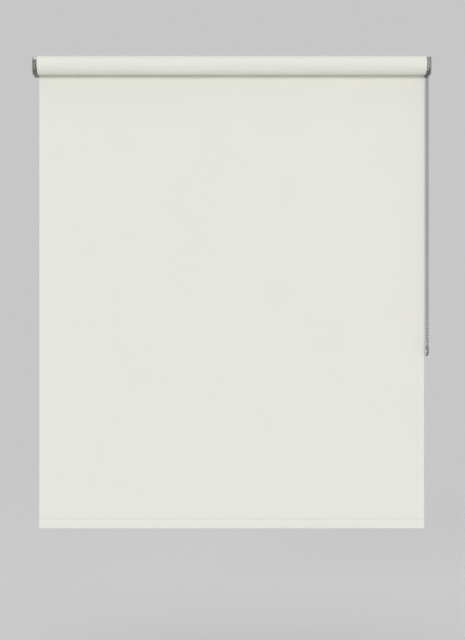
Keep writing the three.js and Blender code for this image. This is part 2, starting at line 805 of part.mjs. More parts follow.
const straight = (y, z0, z1) =>
  new THREE.LineCurve3(new THREE.Vector3(chainX, y, z0), new THREE.Vector3(chainX, y, z1));
const hanging = new SteppedPath(
  [
    straight(-pitchR, 0, turnZ),
    new HalfTurn(turnZ, Math.PI, 2 * Math.PI),
    straight(pitchR, turnZ, 0),
  ],
  [4, 14, 4],
);
piece(
  "chain_loop",
  tube(hanging, CHAIN_D / 2, hanging.steps, ROUND_CHAIN),
  FINISH.chain,
);
const gapAngle = GAP / pitchR;
const overSprocket = new SteppedPath([new HalfTurn(0, gapAngle, Math.PI - gapAngle)], [14]);
piece(
  "chain_wrap",
  tube(overSprocket, CHAIN_D / 2, overSprocket.steps, ROUND_CHAIN),
  FINISH.chain,
);

// Barrel connector on the back run and stop ball on the front run, threaded on the chain.
const guardOpen = THREE.MathUtils.degToRad(GUARD_OPEN_DEG);
const mouthY = (GUARD_R - GUARD_WALL) * Math.sin(guardOpen);
const mouthZ = -(GUARD_R - GUARD_WALL) * Math.cos(guardOpen);
const connectorZ = turnZ + TIDY_WEB_HEIGHT / 2 + 4 + CONNECTOR_LENGTH / 2;
const stopBallZ = mouthZ - Math.sqrt((stopBallR + STOP_CLEARANCE) ** 2 - (mouthY - pitchR) ** 2);
// A body of revolution about a vertical line, bored for the chain, from [height, radius] corners.
function onChain(corners, y, z) {
  const bored = [
    [corners[0][0], chainBoreR],
    ...corners,
    [corners[corners.length - 1][0], chainBoreR],
    [corners[0][0], chainBoreR],
  ];
  return turned(bored, 24).rotateY(-Math.PI / 2).translate(chainX, y, z);
}
const halfLength = CONNECTOR_LENGTH / 2;
piece(
  "chain_connector",
  onChain(
    [
      [-halfLength, connectorR - 0.4],
      [-halfLength + 0.8, connectorR],
      [halfLength - 0.8, connectorR],
      [halfLength, connectorR - 0.4],
    ],
    pitchR,
    connectorZ,
  ),
  FINISH.clearPlastic,
);
const ballCorners = [];
const ballSteps = 10;
const ballFrom = Math.asin((chainBoreR + 0.2) / stopBallR);
for (let i = 0; i <= ballSteps; i += 1) {
  const a = ballFrom + ((Math.PI - 2 * ballFrom) * i) / ballSteps;
  ballCorners.push([-stopBallR * Math.cos(a), stopBallR * Math.sin(a)]);
}
piece("chain_stop_ball", onChain(ballCorners, -pitchR, stopBallZ), FINISH.clearPlastic);

// ---------- chain tidy ----------
// A half drum holds the loop's turn; a cheek beside the chain carries it back to a base on the wall.
const drumR = pitchR - CHAIN_D / 2 - 0.4;
const cheekX0 = chainX + CHAIN_D / 2 + 0.5;
const cheekX1 = cheekX0 + TIDY_SHEET;
const drumShape = new THREE.Shape();
drumShape.absarc(0, turnZ, drumR, Math.PI, 2 * Math.PI, false);
drumShape.closePath();
const lipX1 = chainX - CHAIN_D / 2 - 0.4;
const drum = alongX(drumShape, lipX1 - TIDY_LIP + 0.2, cheekX0 + 0.2, 20);
const lipShape = new THREE.Shape();
lipShape.absarc(0, turnZ, drumR + TIDY_LIP_REACH, Math.PI, 2 * Math.PI, false);
lipShape.closePath();
const lip = alongX(lipShape, lipX1 - TIDY_LIP, lipX1, 20);
const cheekShape = new THREE.Shape();
const cheekTop = turnZ + TIDY_WEB_HEIGHT / 2;
const cheekBottom = turnZ - TIDY_WEB_HEIGHT / 2;
const cheekNose = TIDY_WEB_HEIGHT / 2;
cheekShape.moveTo(wallY - 1, cheekBottom);
cheekShape.lineTo(wallY - 1, cheekTop);
cheekShape.lineTo(-drumR + cheekNose, cheekTop);
cheekShape.absarc(-drumR + cheekNose, turnZ, cheekNose, Math.PI / 2, 1.5 * Math.PI, false);
cheekShape.closePath();
const cheek = alongX(cheekShape, cheekX0, cheekX1, 12);
const baseX0 = edgeX + 1.2;
const baseMidX = (baseX0 + outerX) / 2;
const baseMidZ = turnZ - 5;
const tidyBaseY = wallY - TIDY_SHEET;
const tidyBase = alongY(
  roundedRect(baseMidX, baseMidZ, outerX - baseX0, TIDY_BASE_HEIGHT, 3),
  tidyBaseY,
  wallY,
  5,
);
const tidyScrewZ = turnZ - TIDY_SCREW_DROP;
const tidyHole = disc(tidyBaseY - 1, wallY + 1, SCREW_R + GAP, 20)
  .rotateZ(Math.PI / 2)
  .translate(baseMidX, 0, tidyScrewZ);
piece(
  "chain_tidy",
  geometryOf(cut(joined(solid(drum), solid(lip), solid(cheek), solid(tidyBase)), solid(tidyHole))),
  FINISH.clearPlastic,
);
piece(
  "chain_tidy_screw",
  screw(baseMidX, tidyScrewZ, tidyBaseY),
  FINISH.zincSteel,
);

export default blind;
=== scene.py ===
"""Roller blind with a bead-chain control: the visible pieces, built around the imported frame.

Metres, in the frame's own axes: +X to the control side, +Y to the wall, +Z up, origin on the
roller's axis at mid-width. Every piece's object sits at the origin, and its place is in its mesh.
"""

import functools
import logging
import math
from collections.abc import Callable, Mapping, Sequence
from dataclasses import dataclass
from enum import Enum

import bmesh
import bpy
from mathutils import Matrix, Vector


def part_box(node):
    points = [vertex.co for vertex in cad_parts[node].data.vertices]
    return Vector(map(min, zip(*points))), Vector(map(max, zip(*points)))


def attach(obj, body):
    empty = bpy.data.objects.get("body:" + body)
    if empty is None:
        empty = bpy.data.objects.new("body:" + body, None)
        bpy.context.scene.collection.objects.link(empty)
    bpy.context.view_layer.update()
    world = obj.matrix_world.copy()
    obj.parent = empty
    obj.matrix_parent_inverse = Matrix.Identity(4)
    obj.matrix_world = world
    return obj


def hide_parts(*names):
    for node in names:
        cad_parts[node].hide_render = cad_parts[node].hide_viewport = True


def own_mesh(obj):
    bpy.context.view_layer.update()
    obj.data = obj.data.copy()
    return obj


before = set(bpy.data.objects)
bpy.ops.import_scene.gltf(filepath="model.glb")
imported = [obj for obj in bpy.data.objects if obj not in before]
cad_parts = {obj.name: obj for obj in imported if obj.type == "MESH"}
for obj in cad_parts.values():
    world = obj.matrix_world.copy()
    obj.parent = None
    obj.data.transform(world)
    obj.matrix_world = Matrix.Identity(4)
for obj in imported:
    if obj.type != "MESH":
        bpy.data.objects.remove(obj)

Obj = bpy.types.Object
Node = bpy.types.Node
Socket = bpy.types.NodeSocket
Tree = bpy.types.NodeTree
Corner = tuple[float, float]
Colour = tuple[float, float, float]

LOG = logging.getLogger("roller_blind")
MM = 0.001
FULL_TURN = 2 * math.pi
ORIGIN = (0.0, 0.0, 0.0)
SMOOTH_BELOW = math.radians(35)
MERGE = 1e-6
EDGE_MARK = "edge"
WELD_MARK = "weld"
TONE_MARK = "bead_tone"
FLOAT = "NodeSocketFloat"
INTEGER = "NodeSocketInt"
VECTOR = "NodeSocketVector"
GEOMETRY = "NodeSocketGeometry"
MATERIAL = "NodeSocketMaterial"
OBJECT = "NodeSocketObject"


class Body(Enum):
    """The bodies of the frame that a piece can ride on."""

    FRAME = "frame"
    ROLLER = "roller"
    BOTTOM_BAR = "bottom_bar"
    IDLE_PIN = "idle_pin"
    CONNECTOR = "connector"
    STOP_BALL = "stop_ball"


class Slot(Enum):
    """The record's material slots."""

    FABRIC = "fabric"
    COATED_STEEL = "coated_steel"
    WHITE_PLASTIC = "white_plastic"
    GREY_PLASTIC = "grey_plastic"
    CLEAR_PLASTIC = "clear_plastic"
    ALUMINIUM = "aluminium"
    ZINC_STEEL = "zinc_steel"
    SPRING_STEEL = "spring_steel"
    BEAD_CHAIN = "bead_chain"


class ClothMapping(Enum):
    """Where a cloth's threads take their coordinates from."""

    HANGING = "object coordinates across and down a flat upright cloth"
    WOUND = "the piece's own UV map, across and along the cloth"


class Along(Enum):
    """The axis that a turned shape is drawn about."""

    X = "x"
    Y = "y"
    Z = "z"


# ---------- node graphs ----------
class Graph:
    """A node tree, with short calls to add and join its nodes."""

    def __init__(self, tree: Tree) -> None:
        """Takes the tree to build in."""
        self.tree = tree

    def find(self, kind: str) -> Node:
        """The node of a kind that the tree came with."""
        return next(n for n in self.tree.nodes if n.type == kind)

    def feed(self, node: Node, values: Mapping) -> None:
        """Joins or sets a node's inputs.

        Args:
            node: The node.
            values: Another node's output or a plain value, by each input's name or place.
        """
        for key, value in values.items():
            if isinstance(value, Socket):
                self.tree.links.new(value, node.inputs[key])
            else:
                node.inputs[key].default_value = value

    def add(self, kind: str, inputs: Mapping | None = None, **settings: object) -> Node:
        """Adds a node.

        Args:
            kind: The node's type name.
            inputs: What to feed it.
            **settings: The node's own properties.

        Returns:
            The new node.
        """
        node = self.tree.nodes.new(kind)
        for name, value in settings.items():
            setattr(node, name, value)
        self.feed(node, inputs or {})
        return node

    def get(self, kind: str, inputs: Mapping | None = None, **settings: object) -> Socket:
        """Adds a node in the same way, for its first output."""
        return self.add(kind, inputs, **settings).outputs[0]

    def math(self, operation: str, *values: object) -> Socket:
        """Adds a Math node with its operands in order."""
        return self.get("ShaderNodeMath", dict(enumerate(values)), operation=operation)

    def total(self, first: object, second: object) -> Socket:
        """Adds two numbers."""
        return self.math("ADD", first, second)

    def product(self, first: object, second: object) -> Socket:
        """Multiplies two numbers."""
        return self.math("MULTIPLY", first, second)

    def combine(self, x: object, y: object, z: object = 0.0) -> Socket:
        """Joins three numbers into a vector."""
        return self.get("ShaderNodeCombineXYZ", {0: x, 1: y, 2: z})

    def split(self, vector: Socket) -> list[Socket]:
        """Splits a vector into its three numbers."""
        return list(self.add("ShaderNodeSeparateXYZ", {0: vector}).outputs)

    def attribute(self, name: str) -> Socket:
        """A number that the mesh carries."""
        return self.add("ShaderNodeAttribute", attribute_name=name).outputs["Fac"]

    def noise(
        self, place: Socket, scale: object, detail: float = 2.0, roughness: float = 0.5
    ) -> Socket:
        """Adds noise, mostly from 0.3 to 0.7.

        Args:
            place: A vector in metres.
            scale: Its features in a metre.
            detail: Its octaves.
            roughness: How strong the finer octaves are.

        Returns:
            The noise.
        """
        values = {"Vector": place, "Scale": scale, "Detail": detail, "Roughness": roughness}
        return self.get("ShaderNodeTexNoise", values)

    def remap(
        self, value: Socket, old: Corner, new: Corner = (0.0, 1.0), **settings: object
    ) -> Socket:
        """Maps one range onto another, and keeps to it.

        Args:
            value: The number.
            old: The range that it comes from.
            new: The range that it goes to.
            **settings: The node's own properties.

        Returns:
            The mapped number.
        """
        values = {"From Min": old[0], "From Max": old[1], "To Min": new[0], "To Max": new[1]}
        return self.get("ShaderNodeMapRange", {"Value": value, **values}, **settings)


class Group(Graph):
    """A node group in the making, with the outputs of its input node under `given`."""

    def __init__(
        self, name: str, kind: str, inputs: Mapping[str, object], outputs: Mapping[str, str]
    ) -> None:
        """Starts the group.

        Args:
            name: Its name.
            kind: Its tree type.
            inputs: Each input's default, or its socket type where it has no default.
            outputs: Each output's socket type.
        """
        super().__init__(bpy.data.node_groups.new(name, kind))
        sockets = self.tree.interface
        for label, value in inputs.items():
            kind_of = {float: FLOAT, int: INTEGER}.get(type(value), value)
            socket = sockets.new_socket(label, in_out="INPUT", socket_type=kind_of)
            if kind_of is not value:
                socket.default_value = value
        for label, kind_of in outputs.items():
            sockets.new_socket(label, in_out="OUTPUT", socket_type=kind_of)
        self.given = self.add("NodeGroupInput").outputs

    def end(self, outputs: Mapping[str, Socket]) -> Tree:
        """Fills the group's outputs and gives its finished tree."""
        self.feed(self.add("NodeGroupOutput"), outputs)
        return self.tree


def shader_group(name: str, inputs: Mapping[str, object], outputs: Sequence[str]) -> Group:
    """Starts a shader group that takes a vector in metres, and whose outputs are numbers."""
    inputs = {"Vector": VECTOR, **inputs}
    return Group(name, "ShaderNodeTree", inputs, dict.fromkeys(outputs, FLOAT))


class GrownGroup(Group):
    """A Geometry Nodes group that grows a piece on its object, in the piece's material."""

    def __init__(self, name: str, inputs: Mapping[str, object]) -> None:
        """Starts the group, between its geometry and its material."""
        ends = {"Geometry": GEOMETRY}
        super().__init__(name, "GeometryNodeTree", {**ends, **inputs, "Material": MATERIAL}, ends)

    def on_each(self, points: Socket, shape: Socket, **inputs: object) -> Socket:
        """Puts an instance of a shape on each point."""
        values = {"Points": points, "Instance": shape, **inputs}
        return self.get("GeometryNodeInstanceOnPoints", values)

    def store(self, geometry: Socket, name: str, value: Socket, **settings: object) -> Socket:
        """Stores a value on the geometry, under a name."""
        values = {"Geometry": geometry, "Name": name, "Value": value}
        return self.get("GeometryNodeStoreNamedAttribute", values, **settings)

    def grow(self, geometry: Socket, smooth: bool = True) -> Tree:
        """Ends the group with real instances in the piece's material.

        Args:
            geometry: What the group has made.
            smooth: True shades it smooth, False keeps its own shading.

        Returns:
            The finished tree.
        """
        if smooth:
            geometry = self.get("GeometryNodeSetShadeSmooth", {"Geometry": geometry})
        real = self.get("GeometryNodeRealizeInstances", {"Geometry": geometry})
        values = {"Geometry": real, "Material": self.given["Material"]}
        return self.end({"Geometry": self.get("GeometryNodeSetMaterial", values)})


# ---------- shared shader groups ----------
@functools.cache
def plain_weave() -> Tree:
    """A plain weave: each thread goes over one and under the next.

    Returns:
        The group, which gives the threads' height and tone, both about 0 to 1.
    """
    group = shader_group("plain_weave", {"Thread Pitch": 0.4 * MM, "Slub": 0.5}, ["Height", "Tone"])
    across, along, _ = group.split(group.given["Vector"])
    counts = [group.math("DIVIDE", t, group.given["Thread Pitch"]) for t in (across, along)]
    crowns = [group.math("ABSOLUTE", group.math("SINE", group.product(t, math.pi))) for t in counts]
    squares = group.total(*(group.math("FLOOR", t) for t in counts))
    over = group.math("FLOORED_MODULO", squares, 2.0)
    under = group.math("SUBTRACT", 1.0, over)
    height = group.total(group.product(crowns[0], over), group.product(crowns[1], under))
    lengthwise, crosswise = 30.0, 2200.0
    slubs = []
    for stretch in ((lengthwise, crosswise), (crosswise, lengthwise)):
        place = group.combine(group.product(across, stretch[0]), group.product(along, stretch[1]))
        slubs.append(group.math("SUBTRACT", group.noise(place, 1.0), 0.5))
    slub = group.product(group.total(*slubs), group.given["Slub"])
    tone = group.total(group.product(height, 0.6), slub)
    return group.end({"Height": group.total(height, slub), "Tone": tone})


@functools.cache
def fine_grain() -> Tree:
    """Fine surface grain, such as spark texture on moulded plastic or the peel of a sprayed coat.

    Returns:
        The group, which gives a height and a slow drift, both about 0 to 1.
    """
    inputs = {"Grain Size": 0.4 * MM, "Stretch": VECTOR}
    group = shader_group("fine_grain", inputs, ["Height", "Drift"])
    place = group.given["Vector"]
    factors = {0: place, 1: group.given["Stretch"]}
    stretched = group.get("ShaderNodeVectorMath", factors, operation="MULTIPLY")
    per_metre = group.math("DIVIDE", 1.0, group.given["Grain Size"])
    return group.end(
        {"Height": group.noise(stretched, per_metre, 3.0), "Drift": group.noise(place, 22.0)}
    )


@functools.cache
def edge_wear() -> Tree:
    """Where handling has polished or thinned a finish: the rounded edges, broken up by noise.

    Returns:
        The group, which gives a mask from 0 to 1.
    """
    group = shader_group("edge_wear", {"Amount": 0.5}, ["Mask"])
    breakup = group.noise(group.given["Vector"], 320.0, 4.0, 0.7)
    patches = group.remap(breakup, (0.42, 0.62))
    mask = group.product(group.attribute(EDGE_MARK), patches)
    return group.end({"Mask": group.product(mask, group.given["Amount"])})


# ---------- finishes ----------
class Surface(Graph):
    """A new material's nodes, round its Principled shader."""

    def __init__(self, name: str, colour: Colour, roughness: float) -> None:
        """Starts the material.

        Args:
            name: Its name.
            colour: Its base colour.
            roughness: Its mean roughness.
        """
        self.material = bpy.data.materials.new(name)
        self.material.use_nodes = True
        self.material.diffuse_color = (*colour, 1.0)
        super().__init__(self.material.node_tree)
        self.colour = colour
        self.roughness = roughness
        self.shader = self.find("BSDF_PRINCIPLED")
        self.set({"Base Color": (*colour, 1.0), "Roughness": roughness})

    def set(self, values: Mapping) -> None:
        """Joins or sets the shader's inputs."""
        self.feed(self.shader, values)

    def place(self) -> Socket:
        """The object coordinates, in metres."""
        return self.add("ShaderNodeTexCoord").outputs["Object"]

    def grain(self, size: float, stretch: Sequence[float] = (1.0, 1.0, 1.0)) -> Mapping:
        """Places the fine grain, of a size in metres, finer along the stretched axes."""
        values = {"Vector": self.place(), "Grain Size": size, "Stretch": stretch}
        return self.add("ShaderNodeGroup", values, node_tree=fine_grain()).outputs

    def wear(self, amount: float) -> Socket:
        """The mask of the worn edges."""
        values = {"Vector": self.place(), "Amount": amount}
        return self.get("ShaderNodeGroup", values, node_tree=edge_wear())

    def spread(self, noise: Socket, low: float, high: float) -> Socket:
        """Maps noise onto a range."""
        return self.remap(noise, (0.3, 0.7), (low, high))

    def gloss(self, noise: Socket, below: float, above: float) -> Socket:
        """The roughness, spread by noise to each side of its mean."""
        return self.spread(noise, self.roughness - below, self.roughness + above)

    def tint(self, tone: Socket) -> None:
        """Multiplies the base colour by a tone near 1."""
        values = {0: self.colour, "Scale": tone}
        self.set({"Base Color": self.get("ShaderNodeVectorMath", values, operation="SCALE")})

    def bump(self, height: Socket, depth: float, strength: float) -> None:
        """Adds relief of a depth in metres."""
        values = {"Height": height, "Distance": depth, "Strength": strength}
        self.set({"Normal": self.get("ShaderNodeBump", values)})


@dataclass(frozen=True)
class Finish:
    """What every finish has: a name, the record's slot, a base colour and a mean roughness.

    The numbers that are the same all over go straight on the shader's own sockets.
    """

    name: str
    slot: Slot
    colour: Colour
    roughness: float

    @functools.cache
    def material(self) -> bpy.types.Material:
        """Makes the finish's material, once.

        Returns:
            The material.
        """
        surface = Surface(self.name, self.colour, self.roughness)
        self.detail(surface)
        return surface.material

    def detail(self, surface: Surface) -> None:
        """Adds what varies over the surface."""


@dataclass(frozen=True)
class BlindCloth(Finish):
    """Off-white blackout cloth: a fine plain weave, matt, with faint slubs."""

    mapping: ClothMapping = ClothMapping.HANGING
    thread_pitch: float = 0.42 * MM
    thread_tone: float = 0.03
    # painted shade: the weld band's darkening is partly the pressed cloth's own tone and partly
    # stands in for the shadow of the weld's groove
    weld_tone_and_shade: float = 0.13

    def detail(self, surface: Surface) -> None:
        """Adds the weave, the slubs and the pressed band of a weld, darkened partly as pressed
        cloth and partly as painted shade of the weld's groove.

        Args:
            surface: The material's nodes.
        """
        if self.mapping is ClothMapping.WOUND:
            across, along, _ = surface.split(surface.get("ShaderNodeUVMap", uv_map="UVMap"))
        else:
            across, _, along = surface.split(surface.place())
        flat = surface.combine(across, along)
        values = {"Vector": flat, "Thread Pitch": self.thread_pitch}
        weave = surface.add("ShaderNodeGroup", values, node_tree=plain_weave()).outputs
        threads = surface.product(weave["Tone"], self.thread_tone)
        cloudy = surface.total(threads, surface.spread(surface.noise(flat, 5.0), 0.988, 1.0))
        # painted shade: darkens the weld band, partly as pressed cloth and partly as the groove's
        # shadow
        weld = surface.product(surface.attribute(WELD_MARK), self.weld_tone_and_shade)
        surface.tint(surface.product(cloudy, surface.math("SUBTRACT", 1.0, weld)))
        surface.bump(weave["Height"], 0.05 * MM, 0.35)
        surface.set({"Sheen Weight": 0.12, "Sheen Roughness": 0.6, "Specular IOR Level": 0.22})


@dataclass(frozen=True)
class CoatedSteel(Finish):
    """Powder coat on steel, here grey partly as the coat's own colour and partly as painted shade
    of the gaps at the roll's ends: slight orange peel, rubbed paler on the edges.
    """

    peel: float = 1.1 * MM
    bare: Colour = (0.56, 0.555, 0.55)
    wear: float = 0.6

    def detail(self, surface: Surface) -> None:
        """Adds the peel, the worn edges and a soft change of gloss.

        Args:
            surface: The material's nodes.
        """
        grain = surface.grain(self.peel)
        mix = {"Factor": surface.wear(self.wear), 6: (*self.colour, 1.0), 7: (*self.bare, 1.0)}
        mixed = surface.add("ShaderNodeMix", mix, data_type="RGBA").outputs[2]
        surface.set({"Base Color": mixed, "Roughness": surface.gloss(grain["Drift"], 0.05, 0.07)})
        surface.bump(grain["Height"], 0.06 * MM, 0.3)
        surface.set({"Coat Weight": 0.2, "Coat Roughness": 0.25})


@dataclass(frozen=True)
class MouldedPlastic(Finish):
    """Injection-moulded plastic with a fine spark grain and edges polished by handling."""

    grain_size: float = 0.28 * MM
    edge_polish: float = 0.5

    def detail(self, surface: Surface) -> None:
        """Adds the grain, a faint drift of tone and the polished edges.

        Args:
            surface: The material's nodes.
        """
        grain = surface.grain(self.grain_size)
        surface.tint(surface.spread(grain["Drift"], 0.97, 1.02))
        polish = surface.product(surface.wear(self.edge_polish), 0.2)
        satin = surface.gloss(grain["Height"], 0.04, 0.06)
        surface.set({"Roughness": surface.math("SUBTRACT", satin, polish)})
        surface.bump(grain["Height"], 0.02 * MM, 0.25)


@dataclass(frozen=True)
class ClearPlastic(Finish):
    """Milky clear plastic, as on a chain connector: it lets light through and blurs it."""

    flow_size: float = 2.4 * MM

    def detail(self, surface: Surface) -> None:
        """Adds flow marks in the gloss and faint sink ripples.

        Args:
            surface: The material's nodes.
        """
        flow = surface.grain(self.flow_size)["Height"]
        surface.bump(flow, 0.05 * MM, 0.2)
        gloss = surface.gloss(flow, 0.05, 0.08)
        surface.set({"Roughness": gloss, "Transmission Weight": 0.4, "IOR": 1.47})


@dataclass(frozen=True)
class Metal(Finish):
    """Bare or plated metal, brushed along X where it was drawn or extruded."""

    grain_size: float = 0.5 * MM
    stretch: tuple[float, float, float] = (1.0, 1.0, 1.0)
    relief: float = 0.01 * MM
    tone_spread: float = 0.05

    def detail(self, surface: Surface) -> None:
        """Adds the drawn grain, its change of gloss and of tone.

        Args:
            surface: The material's nodes.
        """
        grain = surface.grain(self.grain_size, self.stretch)
        tone = surface.spread(grain["Drift"], 1.0 - self.tone_spread, 1.0 + self.tone_spread)
        surface.tint(self.own_tone(surface, tone))
        surface.set({"Metallic": 1.0, "Roughness": surface.gloss(grain["Height"], 0.06, 0.1)})
        surface.bump(grain["Height"], self.relief, 0.3)

    def own_tone(self, surface: Surface, tone: Socket) -> Socket:
        """The tone as it is; a kind of metal may add its own change."""
        return tone


@dataclass(frozen=True)
class PlatedBeads(Metal):
    """Nickel-plated beads, each with its own slight tone."""

    def own_tone(self, surface: Surface, tone: Socket) -> Socket:
        """Multiplies the tone by the one that each bead carries."""
        return surface.product(tone, surface.total(1.0, surface.attribute(TONE_MARK)))


CLOTH_COLOUR: Colour = (0.79, 0.79, 0.728)
HANGING_CLOTH = BlindCloth("cloth_hanging", Slot.FABRIC, CLOTH_COLOUR, 0.88)
WOUND_CLOTH = BlindCloth("cloth_wound", Slot.FABRIC, CLOTH_COLOUR, 0.88, ClothMapping.WOUND)
# darker welded cloth for the ribs: partly pressed cloth, partly painted shade along the weld line
WELDED_CLOTH = BlindCloth("cloth_welded", Slot.FABRIC, (0.75, 0.75, 0.69), 0.7)
# painted shade: the brackets' grey is partly a common powder coat and partly stands in for the
# shade in the gaps at the roll's ends
COATED_STEEL = CoatedSteel("grey_coated_steel", Slot.COATED_STEEL, (0.4, 0.385, 0.37), 0.42)
WHITE_PLASTIC = MouldedPlastic(
    "white_moulded_plastic", Slot.WHITE_PLASTIC, (0.76, 0.76, 0.73), 0.45
)
GREY_PLASTIC = MouldedPlastic("grey_moulded_plastic", Slot.GREY_PLASTIC, (0.3, 0.294, 0.284), 0.5)
CLEAR_PLASTIC = ClearPlastic("milky_clear_plastic", Slot.CLEAR_PLASTIC, (0.66, 0.67, 0.67), 0.36)
ALUMINIUM = Metal(
    "extruded_aluminium", Slot.ALUMINIUM, (0.62, 0.63, 0.65), 0.36, 0.5 * MM, (0.02, 1.0, 1.0)
)
ZINC_STEEL = Metal("zinc_plated_steel", Slot.ZINC_STEEL, (0.56, 0.57, 0.58), 0.34, 0.9 * MM)
SPRING_STEEL = Metal("oiled_spring_steel", Slot.SPRING_STEEL, (0.2, 0.2, 0.21), 0.36, 0.3 * MM)
# painted shade: the beads' colour is darkened well below bright nickel, as if the chain hung in a
# shaded recess
SHADE_DARKENED_NICKEL_BEADS = PlatedBeads(
    "nickel_plated_beads", Slot.BEAD_CHAIN, (0.26, 0.257, 0.25), 0.3, 0.25 * MM
)


# ---------- mesh making ----------
def link(name: str, data: bpy.types.ID) -> Obj:
    """Puts a mesh, a light or a camera in the scene.

    Args:
        name: The object's name.
        data: What it holds.

    Returns:
        The object, at the origin.
    """
    obj = bpy.data.objects.new(name, data)
    bpy.context.scene.collection.objects.link(obj)
    return obj


def shade(mesh: bpy.types.Mesh, smooth_below: float = SMOOTH_BELOW) -> None:
    """Shades a mesh smooth, apart from the edges that turn more than an angle in radians."""
    mesh.shade_smooth()
    mesh.set_sharp_from_angle(angle=smooth_below)


def from_bmesh(name: str, form: bmesh.types.BMesh, outward: bool = True) -> Obj:
    """Makes an object of a bmesh, and frees the bmesh.

    Args:
        name: The object's name.
        form: The shape.
        outward: True turns every face outwards, for a closed shape.

    Returns:
        The object.
    """
    bmesh.ops.remove_doubles(form, verts=form.verts, dist=MERGE)
    if outward:
        bmesh.ops.recalc_face_normals(form, faces=form.faces)
    mesh = bpy.data.meshes.new(name)
    form.to_mesh(mesh)
    form.free()
    shade(mesh)
    return link(name, mesh)


def modified(obj: Obj, kind: str, inputs: Mapping | None = None, **settings: object) -> Obj:
    """Adds a modifier to an object and makes it real.

    Args:
        obj: The object.
        kind: The modifier's type.
        inputs: A node tree's inputs, by the names of its sockets.
        **settings: The modifier's own properties.

    Returns:
        The same object, with a plain mesh.
    """
    modifier = obj.modifiers.new(kind.lower(), kind)
    for name, value in settings.items():
        setattr(modifier, name, value)
    if inputs:
        for item in modifier.node_group.interface.items_tree:
            if item.in_out == "INPUT" and item.name in inputs:
                modifier[item.identifier] = inputs[item.name]
    graph = bpy.context.evaluated_depsgraph_get()
    mesh = bpy.data.meshes.new_from_object(obj.evaluated_get(graph), depsgraph=graph)
    obj.modifiers.clear()
    obj.data = mesh
    mesh.name = obj.name
    return obj


def grown(
    name: str,
    tree: Tree,
    points: Sequence[Sequence[float]] = (),
    joined: bool = False,
    **inputs: object,
) -> Obj:
    """Grows a piece on bare vertices, by a Geometry Nodes tree.

    Args:
        name: The piece's name.
        tree: The tree.
        points: The vertices.
        joined: True joins each to the next by an edge.
        **inputs: The tree's inputs: thread_pitch feeds the socket Thread Pitch.

    Returns:
        The piece.
    """
    edges = [(i, i + 1) for i in range(len(points) - 1)] if joined else []
    mesh = bpy.data.meshes.new(name)
    mesh.from_pydata([tuple(p) for p in points], edges, [])
    values = {label.replace("_", " ").title(): value for label, value in inputs.items()}
    return modified(link(name, mesh), "NODES", values, node_group=tree)


def combined(obj: Obj, tool: Obj, operation: str, **settings: object) -> None:
    """Joins a shape to a piece, or cuts it out of it, and removes the shape.

    Args:
        obj: The piece.
        tool: The shape.
        operation: UNION or DIFFERENCE.
        **settings: The modifier's other properties.
    """
    modified(obj, "BOOLEAN", operation=operation, solver="EXACT", object=tool, **settings)
    shade(obj.data)
    bpy.data.objects.remove(tool)


def grid_object(
    name: str,
    columns: int,
    rows: int,
    point: Callable[[float, float], Vector],
    flat: Callable[[float, float], Corner],
) -> Obj:
    """A sheet of quads with a UV map of its flat size.

    Args:
        name: The object's name.
        columns: Quads across.
        rows: Quads along.
        point: The place of a share across and a share along, each 0 to 1.
        flat: The flat place, in metres, of the same shares.

    Returns:
        The object.
    """
    shares = [(i / columns, j / rows) for j in range(rows + 1) for i in range(columns + 1)]
    starts = [j * (columns + 1) + i for j in range(rows) for i in range(columns)]
    faces = [(a, a + 1, a + columns + 2, a + columns + 1) for a in starts]
    mesh = bpy.data.meshes.new(name)
    mesh.from_pydata([point(u, v) for u, v in shares], [], faces)
    uv_map = mesh.uv_layers.new(name="UVMap")
    for loop in mesh.loops:
        uv_map.data[loop.index].uv = flat(*shares[loop.vertex_index])
    mesh.shade_smooth()
    return link(name, mesh)


def thickened(obj: Obj, thickness: float) -> Obj:
    """Gives a sheet its thickness, half to each side.

    Args:
        obj: The sheet.
        thickness: Its thickness.

    Returns:
        The same object, closed all round.
    """
    modified(obj, "SOLIDIFY", thickness=thickness, offset=0.0, use_even_offset=True)
    shade(obj.data, math.radians(50))
    return obj


def turned(
    name: str,
    profile: Sequence[Corner],
    sides: int,
    along: Along = Along.X,
    centre: Sequence[float] = ORIGIN,
    radius_at: Callable[[float, float, float], float] | None = None,
    start: float = 0.0,
    arc: float = FULL_TURN,
) -> Obj:
    """A closed body of revolution, or a part of one.

    Args:
        name: The object's name.
        profile: Corners as (place along the axis, radius). It starts and ends on the axis, or
            its last corner joins its first.
        sides: Facets round the axis.
        along: The axis.
        centre: A point on the axis, from which the profile is measured.
        radius_at: Changes a corner's radius, from its place along the axis, its radius and
            its angle.
        start: The angle where it starts, in radians.
        arc: How far round it goes, in radians.

    Returns:
        The object.
    """
    form = bmesh.new()
    whole = arc == FULL_TURN
    rows = []
    for i in range(sides if whole else sides + 1):
        angle = start + arc * i / sides
        row = []
        for where, radius in profile:
            r = radius_at(where, radius, angle) if radius_at and radius else radius
            u, v = r * math.cos(angle), r * math.sin(angle)
            spot = {Along.X: (where, u, v), Along.Y: (u, where, v), Along.Z: (u, v, where)}[along]
            row.append(form.verts.new(Vector(centre) + Vector(spot)))
        rows.append(row)
    if whole:
        rows.append(rows[0])
    else:
        form.faces.new(rows[0])
        form.faces.new(reversed(rows[-1]))
    count = len(profile)
    on_axis = profile[0][1] == 0
    for near, far in zip(rows, rows[1:]):
        for k in range(count - 1 if on_axis else count):
            m = (k + 1) % count
            form.faces.new((near[k], far[k], far[m], near[m]))
    bmesh.ops.remove_doubles(form, verts=form.verts, dist=MERGE)
    bmesh.ops.dissolve_degenerate(form, edges=form.edges, dist=MERGE)
    return from_bmesh(name, form)


